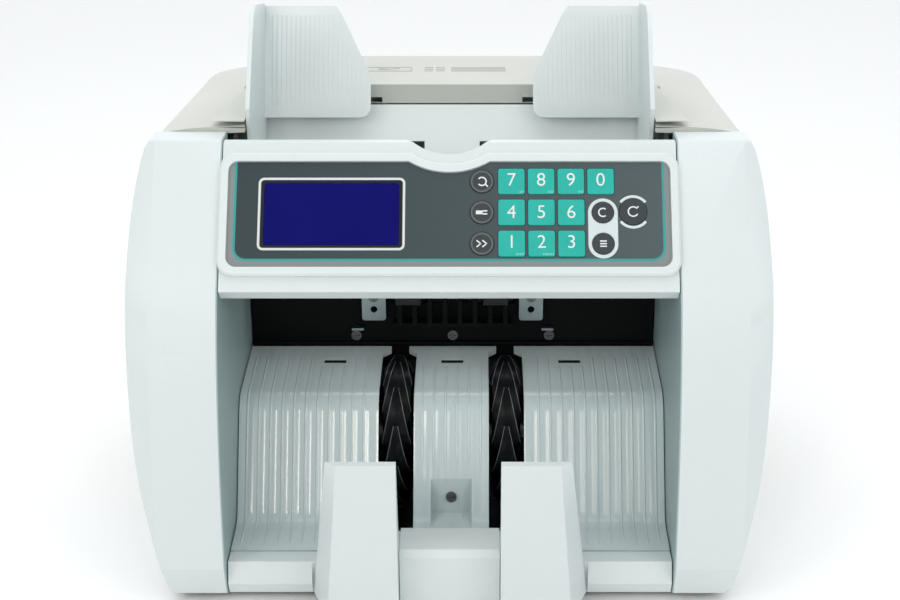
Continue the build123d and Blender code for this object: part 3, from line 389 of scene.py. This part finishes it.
def displayGlass(name, look):
    # the display's lit blue film under glass, with the faint rows of its dots
    material, tree, shader, coords = newMaterial(name)
    u, v = panelCoords(tree, coords)
    dotsU = (u * look["dots"]).math("FRACT") - 0.5
    dotsV = (v * look["dots"]).math("FRACT") - 0.5
    gap = abs(dotsU).math("MAXIMUM", abs(dotsV)).below(0.40, 0.1)
    cloud = noise(tree, coords, 40.0, 2.0)
    colour = mixColour(tree, gap * 0.25 + cloud * 0.45, look["dark"], look["lit"])
    feed(tree, shader, Base_Color=colour, Roughness=look["rough"] + cloud * 0.06, Emission_Color=colour,
         Emission_Strength=look["glow"], Specular_IOR_Level=look["specular"],
         Normal=bump(tree, cloud, 0.04, 0.0002))
    return material


overlayPrint = overlayFilm("overlayPrint", overlayLook)
keyTeal = tealKey("keyTeal", {"colour": (0.012, 0.365, 0.300), "shade": (0.020, 0.430, 0.360)})
keyDark = mouldedPlastic("keyDark", {
    "colour": (0.024, 0.031, 0.034), "shade": (0.034, 0.043, 0.046), "speck": (0.06, 0.07, 0.07),
    "rough": 0.38, "grain": 0.12, "grainScale": 2200.0, "driftScale": 60.0,
})
keyPale = mouldedPlastic("keyPale", {
    "colour": (0.100, 0.112, 0.114), "shade": (0.088, 0.100, 0.102), "speck": (0.07, 0.08, 0.08),
    "rough": 0.40, "grain": 0.12, "grainScale": 2200.0, "driftScale": 60.0,
})
glass = displayGlass("glass", glassLook)
ink = mouldedPlastic("ink", {
    "colour": (0.72, 0.76, 0.75), "shade": (0.66, 0.70, 0.69), "speck": (0.5, 0.5, 0.5),
    "rough": 0.45, "grain": 0.05, "grainScale": 2200.0, "driftScale": 80.0,
})
tealInk = mouldedPlastic("tealInk", {
    "colour": (0.22, 0.66, 0.60), "shade": (0.20, 0.60, 0.55), "speck": (0.2, 0.5, 0.45),
    "rough": 0.45, "grain": 0.05, "grainScale": 2200.0, "driftScale": 80.0,
})
labelInk = mouldedPlastic("labelInk", {
    "colour": (0.33, 0.34, 0.32), "shade": (0.40, 0.41, 0.39), "speck": (0.3, 0.3, 0.3),
    "rough": 0.5, "grain": 0.05, "grainScale": 2200.0, "driftScale": 80.0,
})
print("panel materials made")

# Finished copies of the moulded shapes
looks = {
    "body_plastic": bodyPlastic, "cover_plastic": coverPlastic, "pocket_plastic": pocketPlastic,
    "overlay_film": overlayPrint, "display_glass": glass, "teal_key": keyTeal, "dark_key": keyDark,
    "black_plastic": blackSatin, "rubber": rubber, "steel": steel, "screw_steel": plated,
    "board": greenBoard, "motor_metal": steel,
}


def place(thing, node, material, hide=True):
    # rides a finished piece on the node's body and lets it stand for the node
    thing.data.materials.clear()
    thing.data.materials.append(material)
    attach(thing, bodyOf[node])
    if hide:
        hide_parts(node)


def meshObject(name, mesh):
    thing = bpy.data.objects.new(name, mesh)
    bpy.context.collection.objects.link(thing)
    return thing


def smoothByAngle(mesh, degrees):
    # shades smooth, keeping the edges sharper than the given angle
    mesh.polygons.foreach_set("use_smooth", np.ones(len(mesh.polygons), bool))
    mesh.set_sharp_from_angle(angle=math.radians(degrees))


def softened(node, name, width, material, segments=3, angle=28, join=True):
    # the node's own shape, welded, its flat triangles joined if asked, its edges rounded over
    mesh = nodes[node].data.copy()
    work = bmesh.new()
    work.from_mesh(mesh)
    bmesh.ops.remove_doubles(work, verts=work.verts, dist=2e-6)
    if join:
        flat = math.radians(0.6)
        bmesh.ops.dissolve_limit(work, angle_limit=flat, verts=work.verts, edges=work.edges)
    work.to_mesh(mesh)
    work.free()
    mesh.name = name
    thing = meshObject(name, mesh)
    smoothByAngle(mesh, angle)
    bevel = thing.modifiers.new("edges", "BEVEL")
    bevel.width = width
    bevel.segments = segments
    bevel.limit_method = "ANGLE"
    bevel.angle_limit = math.radians(angle)
    bevel.harden_normals = True
    bevel.use_clamp_overlap = True
    place(thing, node, material)
    return thing


# Visible mouldings
# How far each kind of edge is rounded over
soften = {
    "shell": 0.0011, "cover": 0.0012, "frame": 0.0009, "thin": 0.00045, "key": 0.0007, "block": 0.0014,
}
softened("left_side_cover", "leftShell", soften["shell"], wallPlasticPaintedShade)
softened("right_side_cover", "rightShell", soften["shell"], wallPlasticPaintedShade)
softened("rear_cover", "topShell", soften["cover"], coverPlastic, join=False)
softened("front_bezel", "bezelShell", soften["frame"], bodyPlastic)
softened("display_frame", "panelFrame", soften["frame"], bodyPlastic)
softened("hopper_tray", "trayShell", soften["thin"], bodyPlastic, join=False)
softened("left_guide", "leftGuide", soften["thin"], bodyPlastic, join=False)
softened("right_guide", "rightGuide", soften["thin"], bodyPlastic, join=False)
softened("front_sill", "sillBlock", soften["frame"], bodyPlastic)
softened("left_stopper", "leftStopper", soften["block"], bodyPlastic)
softened("right_stopper", "rightStopper", soften["block"], bodyPlastic)
softened("stacker_plate", "pocketPlate", soften["thin"], pocketPlastic)
softened("rear_door", "rearDoor", soften["thin"], coverPlastic)
softened("back_wall", "pocketWall", soften["thin"], wallBlack)
softened("sensor_brackets", "brackets", soften["thin"], steel)
softened("gap_knob", "gapKnob", soften["thin"], blackSatin)
softened("power_rocker", "powerRocker", soften["thin"], blackSatin)
print("softened shells made")

digitKeys = [f"key_{i}" for i in range(10)]
roundKeys = ["key_detect", "key_double", "key_speed", "key_restart", "key_clear", "key_batch"]
for node in digitKeys:
    softened(node, node.replace("key_", "digitKey"), soften["key"], keyTeal, segments=4, angle=40)
for node in roundKeys:
    softened(node, node.replace("key_", "roundKey."), soften["thin"], keyDark, angle=40)

for part in frame["record"]["subparts"]:
    solid = nodes[part["node"]]
    solid.data.materials.clear()
    solid.data.materials.append(looks[part["material_slot"]])
print("solids given their finishes")


# Flat marks: digits, rings and signs laid on the panel. The lifted digits stand a little higher on
# their keys; thinner is the share of the size that the strokes lose.
digitLook = {"size": 0.0086, "thinner": 0.004, "thick": 0.00004, "lift": 0.0006, "lifted": "7890123"}
markGap = 0.00005


def flatText(character, size):
    # A digit's filled outline as a mesh, centred on zero in its own plane
    curve = bpy.data.curves.new("digit", "FONT")
    curve.body = character
    curve.size = size
    curve.align_x = "CENTER"
    curve.align_y = "CENTER"
    curve.offset = -size * digitLook["thinner"]
    curve.extrude = digitLook["thick"]
    holder = bpy.data.objects.new("digit", curve)
    bpy.context.collection.objects.link(holder)
    bpy.context.view_layer.update()
    evaluated = holder.evaluated_get(bpy.context.evaluated_depsgraph_get())
    mesh = bpy.data.meshes.new_from_object(evaluated)
    bpy.data.objects.remove(holder)
    return mesh


def ontoPanel(mesh, u, v, lift):
    # turns a flat mesh from its own plane onto the panel, at u and v, raised by lift
    points = np.empty(len(mesh.vertices) * 3)
    mesh.vertices.foreach_get("co", points)
    points = points.reshape(-1, 3)
    points = onPanel(u + points[:, 0], v + points[:, 1], lift + points[:, 2])
    mesh.vertices.foreach_set("co", points.ravel())
    mesh.update()
    return mesh


def outlineMesh(name, loops, thick=0.00006):
    # each outline is an N x 2 array round a convex patch, made thick downwards and upwards
    points, faces, start = [], [], 0
    for loop in loops:
        count = len(loop)
        low = np.column_stack([loop, np.full(count, -thick)])
        high = np.column_stack([loop, np.full(count, thick)])
        points.append(np.vstack([low, high]))
        ring = np.arange(count)
        after = (ring + 1) % count
        faces.append((start + ring[::-1]).tolist())
        faces.append((start + count + ring).tolist())
        sides = np.column_stack([ring, after, after + count, ring + count]) + start
        faces.extend(sides.tolist())
        start += 2 * count
    mesh = bpy.data.meshes.new(name)
    mesh.from_pydata(np.vstack(points).tolist(), [], faces)
    mesh.update()
    return mesh


def bar(x, y, length, width, turn=0.0):
    # A rectangle about x and y, its length along the turned direction
    corners = np.array([[-1, -1], [1, -1], [1, 1], [-1, 1]]) * [length / 2, width / 2]
    c, s = math.cos(turn), math.sin(turn)
    return corners @ np.array([[c, s], [-s, c]]) + [x, y]


def arcBars(radius, width, start, end, count):
    # short quadrilaterals that follow an arc from start to end, in degrees
    angles = np.radians(np.linspace(start, end, count + 1))
    inner = np.column_stack([np.cos(angles), np.sin(angles)]) * (radius - width / 2)
    outer = np.column_stack([np.cos(angles), np.sin(angles)]) * (radius + width / 2)
    return [np.array([inner[i], outer[i], outer[i + 1], inner[i + 1]]) for i in range(count)]


def markOn(node, name, mesh, material, shiftU=0.0, shiftV=0.0):
    # puts a flat mark on a key's outer face, and rides it on the key's body
    u, v, top = panelSpot(node)
    thing = meshObject(name, ontoPanel(mesh, u + shiftU, v + shiftV, top + markGap))
    place(thing, node, material, hide=False)
    return thing


for digit in "0123456789":
    up = digitLook["lift"] if digit in digitLook["lifted"] else 0.0
    markOn("key_" + digit, "digit" + digit, flatText(digit, digitLook["size"]), ink, shiftV=up)

# Rows of short strokes at a digit key's lower right corner
cornerLook = {
    "count": {"7": 3, "8": 4, "9": 4, "1": 6, "2": 8}, "pitch": 0.00062, "stroke": (0.00030, 0.00105),
    "right": 0.0051, "down": 0.0048,
}
for digit, count in cornerLook["count"].items():
    cornerStrokes = [bar(-cornerLook["pitch"] * i, 0.0, *cornerLook["stroke"]) for i in range(count)]
    markOn("key_" + digit, "cornerMark" + digit, outlineMesh("cornerMark", cornerStrokes), tealInk,
           shiftU=cornerLook["right"], shiftV=-cornerLook["down"])

ringLook = {"radius": 0.00465, "width": 0.00090, "steps": 48}
ringLoops = arcBars(ringLook["radius"], ringLook["width"], 0, 360, ringLook["steps"])
for node in ["key_detect", "key_double", "key_speed"]:
    markOn(node, "ring." + node[4:], outlineMesh("ring", ringLoops), keyPale)

# Signs on the round keys, drawn with strokes of one width about each key's middle
signWide = 0.0006
pictograms = {
    "key_detect": arcBars(0.0019, signWide, -140, 140, 16)
    + [bar(0.0021, -0.0019, 0.0016, signWide, -0.8)],
    "key_double": [bar(-0.0012, 0, 0.0030, 0.0017)]
    + [bar(0.0013, y, 0.0022, signWide) for y in (0.0007, -0.0007)],
    "key_speed": [
        bar(x, y, 0.0026, signWide, -math.copysign(0.7, y))
        for x in (-0.0014, 0.0012) for y in (0.0007, -0.0007)
    ],
    "key_restart": arcBars(0.0022, signWide, 40, 330, 20) + [bar(0.0019, 0.0019, 0.0014, signWide, 0.8)],
    "key_clear": arcBars(0.0019, signWide, 50, 310, 16),
    "key_batch": [bar(0, y, 0.0030, signWide) for y in (0.0012, 0.0, -0.0012)],
}
for node, loops in pictograms.items():
    markOn(node, "sign." + node[4:], outlineMesh("sign", loops), ink)
print("panel marks made")


# Surfaces from arrays
def quadsOf(index):
    # the four corners of every cell of a table of point numbers
    cells = [index[:-1, :-1], index[:-1, 1:], index[1:, 1:], index[1:, :-1]]
    return np.stack(cells, axis=-1).reshape(-1, 4)


def gridObject(name, points):
    # a quad mesh over points[row, column, xyz]
    quads = quadsOf(np.arange(points[..., 0].size).reshape(points.shape[:2]))
    mesh = bpy.data.meshes.new(name)
    mesh.from_pydata(points.reshape(-1, 3).tolist(), [], quads.tolist())
    mesh.update()
    return meshObject(name, mesh)


def joined(name, pieces, material, node, hide, angle=35):
    # one object from several point grids, each a closed tube with capped ends: (rows, around, 3)
    points, quads, caps, start = [], [], [], 0
    for grid in pieces:
        rows, around = grid.shape[:2]
        index = np.arange(rows * around).reshape(rows, around) + start
        quads.append(quadsOf(np.hstack([index, index[:, :1]])))
        caps.append(index[0][::-1].tolist())
        caps.append(index[-1].tolist())
        points.append(grid.reshape(-1, 3))
        start += rows * around
    mesh = bpy.data.meshes.new(name)
    mesh.from_pydata(np.vstack(points).tolist(), [], np.vstack(quads).tolist() + caps)
    mesh.update()
    work = bmesh.new()
    work.from_mesh(mesh)
    bmesh.ops.recalc_face_normals(work, faces=work.faces)
    work.to_mesh(mesh)
    work.free()
    smoothByAngle(mesh, angle)
    thing = meshObject(name, mesh)
    place(thing, node, material, hide)
    return thing


# A wheel of trailing leaf-shaped vanes. Along a vane, s runs 0 to 1: its radius is
# hub + reach*sin(pi*s/2), and it trails by sweep*s, so it leaves the hub straight and lies back
# at the tip. Its width holds full to 1 - taper and then narrows in a straight line to the tip.
wheelLook = {
    "hub": 0.0100, "reach": 0.0278, "sweep": 90.0, "vanes": 12, "rows": 34, "taper": 0.50, "tip": 0.0020,
    "thick": 0.0015, "thinning": 0.55, "rim": 0.00022, "hubSteps": 48, "edgeSteps": 12, "tipSteps": 5,
}


def aboutAxle(x, radius, turn, centre):
    # points at x along the axle, at a radius from it, at an angle round it
    around = np.stack([x, radius * np.cos(turn), radius * np.sin(turn)], axis=-1)
    return around + centre


def wheel(name, node, look):
    low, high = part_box(node)
    centre = np.array((low + high) / 2)
    halfWide = (high[0] - low[0]) / 2
    starts = 2 * np.pi * np.arange(look["vanes"]) / look["vanes"]
    sweep = np.radians(look["sweep"])

    def vane(s):
        # radius and half width of a vane at s
        narrowing = np.clip((s - (1 - look["taper"])) / look["taper"], 0, 1)
        half = halfWide + (look["tip"] / 2 - halfWide) * narrowing
        return look["hub"] + look["reach"] * np.sin(np.pi * s / 2), half

    # a vane's section: wide flat faces with a rounded edge at either side, thinner towards the tip
    section = np.array([[-1, -0.5], [-0.97, 0.3], [-0.9, 0.5], [0.9, 0.5], [0.97, 0.3], [1, -0.5]])
    s = np.linspace(0, 1, look["rows"])[:, None]
    radius, half = vane(s)
    x = half * section[:, 0]
    r = radius + look["thick"] * (1 - look["thinning"] * s) * (section[:, 1] - 0.5)
    pieces = [aboutAxle(x, r, start - sweep * s, centre) for start in starts]

    # the hub: its outline, as shares of half width and hub radius, turned round the axle
    flank = np.array([[-1.0, 0.55], [-0.96, 0.98], [-0.9, 1.06]])
    outline = np.vstack([flank, flank[::-1] * [-1, 1]])
    turns = np.linspace(0, 2 * np.pi, look["hubSteps"], endpoint=False)
    hubX = np.broadcast_to(outline[:, :1] * halfWide, (len(outline), len(turns)))
    pieces.append(aboutAxle(hubX, outline[:, 1:] * look["hub"], turns, centre))
    joined(name, pieces, blackGloss, node, True, angle=40)

    # painted highlight: a thin rounded tube, lighter and glossier than the vanes, up one narrowing edge of each
    # vane, across its tip and down the other; its lighter colour stands for the lit edge lines, and its rounding
    # also catches real light
    edge, tip = look["edgeSteps"], look["tipSteps"]
    side = np.concatenate([-np.ones(edge), np.linspace(-1, 1, tip), np.ones(edge)])
    rise = np.linspace(1 - look["taper"], 1, edge)
    along = np.concatenate([rise, np.ones(tip), rise[::-1]])[:, None]
    radius, half = vane(along)
    ring = np.linspace(0, 2 * np.pi, 6, endpoint=False)
    x = side[:, None] * half + look["rim"] * np.cos(ring)
    r = radius + look["rim"] * np.sin(ring)
    rims = [aboutAxle(x, r, start - sweep * along, centre) for start in starts]
    joined(name + "Rims", rims, rimPaintedHighlight, node, False, angle=60)


wheel("leftWheel", "left_impeller", wheelLook)
wheel("rightWheel", "right_impeller", wheelLook)
print("wheels made")

# Ribs that the notes slide on
# A rib follows a line of points down a surface. Round its section the angle a runs 0 to pi: across
# it is (width/2)*cos(a), and out from the surface height*sin(a), with its base sunk a little. Its
# first and last rows ramp down to the surface.
ribSunk = 0.00012
ribEndRows = 3.0


def ribAlong(line, out, across, width, height):
    # line and out are (rows, 3) points and unit normals; across is the unit vector of the width
    angle = np.linspace(0, np.pi, 6)
    side = np.append(width / 2 * np.cos(angle), [-width / 2, width / 2])
    rise = np.append(height * np.sin(angle), [-ribSunk, -ribSunk])
    row = np.arange(len(line))
    taper = np.clip(np.minimum(row, row[::-1]) / ribEndRows, 0.02, 1)
    points = line[:, None] + across * side[None, :, None]
    return points + out[:, None] * (rise[None, :, None] * taper[:, None, None])


# first is the first rib's distance from the middle; slot spans the wheels' slots in |x|; a rib of the
# centre tongue runs only between tongueBack and tongueFront; window spans the outer lens windows in |x|
ribLook = {
    "pitch": 0.0056, "width": 0.0011, "height": 0.00045, "front": -0.0905, "back": -0.005, "rows": 90,
    "first": 0.0028, "last": 0.099, "slot": (0.0165, 0.0368), "tongueBack": -0.0135,
    "tongueFront": -0.060, "window": (0.051, 0.066), "trace": 0.085, "above": 0.15,
}


def plateLine(look, x):
    # the stacker plate's upper surface at x, from back to front, found by looking straight down,
    # with its normals, which are the line's own direction turned a quarter
    solid = nodes["stacker_plate"].data
    tree = BVHTree.FromPolygons([v.co for v in solid.vertices], [p.vertices for p in solid.polygons])
    y = np.linspace(look["back"], look["front"], look["rows"])
    down = Vector((0, 0, -1))
    z = np.array([tree.ray_cast(Vector((x, float(along), look["above"])), down)[0][2] for along in y])
    line = np.column_stack([np.zeros_like(y), y, z])
    step = np.gradient(line, axis=0)
    out = np.column_stack([np.zeros_like(y), -step[:, 2], step[:, 1]])
    out /= -np.linalg.norm(out, axis=1)[:, None]
    return line, out


plateRun, plateOut = plateLine(ribLook, ribLook["trace"])
places = np.arange(ribLook["first"], ribLook["last"], ribLook["pitch"])
places = places[(places < ribLook["slot"][0]) | (places > ribLook["slot"][1])]
sideways = np.array([1.0, 0, 0])
ribs = []
for x in np.concatenate([-places[::-1], places]):
    keep = np.full(len(plateRun), True)
    onTongue = abs(x) < ribLook["slot"][0]
    if onTongue:
        keep &= plateRun[:, 1] > ribLook["tongueFront"]
    if onTongue or ribLook["window"][0] < abs(x) < ribLook["window"][1]:
        keep &= plateRun[:, 1] < ribLook["tongueBack"]
    line = plateRun[keep] + sideways * x
    ribs.append(ribAlong(line, plateOut[keep], sideways, ribLook["width"], ribLook["height"]))
joined("plateRibs", ribs, pocketPlastic, "stacker_plate", False)

# Dark lenses just under the plate's three windows
lensLook = {"places": (-0.0585, 0.0, 0.0585), "half": (0.0054, 0.0019), "depths": (0.0014, 0.0005)}
lensMiddle = plateLine({**ribLook, "back": -0.0089, "front": -0.0091, "rows": 3}, ribLook["trace"])[0][1]
corners = np.array([[-1, -1], [1, -1], [1, 1], [-1, 1]])
lenses = []
for x in lensLook["places"]:
    flat = corners * lensLook["half"] + [x, lensMiddle[1]]
    levels = lensMiddle[2] - np.array(lensLook["depths"])
    lenses.append(np.stack([np.column_stack([flat, np.full(4, z)]) for z in levels]))
joined("lenses", lenses, wallBlack, "stacker_plate", False)

# A line on a guide climbs from its foot, and ends below the sheet's edge: below the flat top, or
# below the slope that starts at slopeStart and climbs by slope
guideRibs = {
    "pitch": 0.0023, "width": 0.0009, "height": 0.00016, "inner": 0.0445, "outer": 0.0895, "low": 0.006,
    "foot": (0.024, 0.195), "lean": 22.4, "high": 0.0505, "rows": 12, "slope": 2.1,
    "slopeStart": (0.040, 0.017),
}


def guideLines(look, sign, node):
    lean = math.radians(look["lean"])
    rise = np.array([0, math.sin(lean), math.cos(lean)])
    out = np.array([0, -math.cos(lean), math.sin(lean)])
    pieces = []
    for x in np.arange(look["inner"], look["outer"], look["pitch"]):
        edgeX, edgeHigh = look["slopeStart"]
        top = min(look["high"], edgeHigh + (x - edgeX) * look["slope"])
        s = np.linspace(look["low"], top, look["rows"])
        line = np.array([sign * x, *look["foot"]]) + s[:, None] * rise
        outs = np.broadcast_to(out, line.shape)
        pieces.append(ribAlong(line, outs, sideways, look["width"], look["height"]))
    joined("guideLines." + node, pieces, bodyPlastic, node, False)


guideLines(guideRibs, -1, "left_guide")
guideLines(guideRibs, 1, "right_guide")

# Marks printed on the rear cover: a simple drawing of a note in a box, and rows of short strokes,
# each stroke as its middle x and y, its length and width, and its turn
labelLook = {"line": 0.0006, "stroke": 0.0009, "fine": 0.0005, "thick": 0.00008, "gap": 0.00006}
coverTop = float(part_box("rear_cover")[1][2])
strokes = [bar(-0.033, 0.0745, 0.022, labelLook["line"]), bar(-0.033, 0.0665, 0.024, labelLook["line"])]
strokes += [bar(x, 0.0705, labelLook["line"], 0.0082) for x in (-0.0445, -0.0215)]
strokes += [bar(-0.033, 0.0705, 0.011, labelLook["fine"], 0.25)]
strokes += [bar(-0.036, 0.0715, 0.006, labelLook["fine"], -0.5)]
strokes += [
    bar(x, y, 0.0045, labelLook["stroke"]) for y in (0.067, 0.0705, 0.074) for x in (-0.0125, -0.0065)
]
strokes += [bar(0.013, y, 0.028, labelLook["line"]) for y in (0.0665, 0.0690, 0.0715, 0.0740)]
label = outlineMesh("topLabel", strokes, labelLook["thick"])
label.transform(Matrix.Translation((0, 0, coverTop + labelLook["gap"])))
place(meshObject("topLabel", label), "rear_cover", labelInk, hide=False)
print("ribs, lenses and marks made")

# Camera, light, floor
cameraLook = {"place": (0.0128, -0.7333, 0.404), "tilt": 68.0, "lens": 63.4, "shift": -0.031}
camera = bpy.data.cameras.new("camera")
camera.lens = cameraLook["lens"]
camera.shift_x = cameraLook["shift"]
cameraObject = bpy.data.objects.new("camera", camera)
cameraObject.location = cameraLook["place"]
cameraObject.rotation_euler = (math.radians(cameraLook["tilt"]), 0, 0)
bpy.context.collection.objects.link(cameraObject)
bpy.context.scene.camera = cameraObject

floorLook = {"half": 3.0, "tones": ((0.90, 0.90, 0.90), (0.93, 0.93, 0.93)), "rough": 0.75}
half = floorLook["half"]
floorEnds = np.array([[[-half, half, 0], [-half, -half, 0]], [[half, half, 0], [half, -half, 0]]], float)
floor = gridObject("floor", floorEnds)
floorMaterial, floorTree, floorShader, floorCoords = newMaterial("floor")
floorTone = mixColour(floorTree, noise(floorTree, floorCoords, 3.0), *floorLook["tones"])
feed(floorTree, floorShader, Base_Color=floorTone, Roughness=floorLook["rough"])
floor.data.materials.append(floorMaterial)

backdropLook = {"half": 4.0, "back": 2.4, "low": -0.2, "high": 4.0, "glow": 0.75}
half, back, low, high = (backdropLook[key] for key in ("half", "back", "low", "high"))
backdropEnds = np.array([[[x, back, z] for x in (-half, half)] for z in (low, high)])
backdrop = gridObject("backdrop", backdropEnds)
backdropMaterial, backdropTree, backdropShader, _ = newMaterial("backdrop")
feed(backdropTree, backdropShader, Base_Color=rgb((0.9, 0.9, 0.9)), Roughness=0.9,
     Emission_Color=rgb((1.0, 1.0, 1.0)), Emission_Strength=backdropLook["glow"])
backdrop.data.materials.append(backdropMaterial)

worldLook = {"colour": (0.93, 0.97, 1.0), "strength": 0.60}
world = bpy.data.worlds.new("studio")
world.use_nodes = True
background = world.node_tree.nodes["Background"]
background.inputs["Color"].default_value = rgb(worldLook["colour"])
background.inputs["Strength"].default_value = worldLook["strength"]
bpy.context.scene.world = world


def softLight(name, place, aim, size, power, colour=(1, 1, 1)):
    light = bpy.data.lights.new(name, "AREA")
    light.shape = "RECTANGLE"
    light.size, light.size_y = size
    light.energy = power
    light.color = colour
    thing = bpy.data.objects.new(name, light)
    thing.location = place
    thing.rotation_euler = (Vector(aim) - Vector(place)).to_track_quat("-Z", "Y").to_euler()
    bpy.context.collection.objects.link(thing)


# Each light's place, the point it faces, its size and its power, and the strips' warm colour
warm = (1.0, 0.93, 0.80)
softLight("top", (0.0, 0.05, 1.3), (0, 0, 0.1), (1.2, 0.9), 6.2)
softLight("frontLeft", (-0.9, -0.9, 0.8), (0, 0, 0.1), (0.7, 0.7), 4.0)
softLight("frontRight", (0.95, -0.9, 0.7), (0, 0, 0.1), (0.7, 0.7), 3.5)
softLight("stripLeft", (-0.24, -0.93, 0.62), (-0.08, -0.06, 0.05), (0.05, 0.20), 0.8, warm)
softLight("stripRight", (0.24, -0.93, 0.62), (0.08, -0.06, 0.05), (0.03, 0.20), 0.4, warm)
bpy.context.scene.view_settings.view_transform = "Standard"
bpy.context.scene.view_settings.look = "None"
print("stage set")
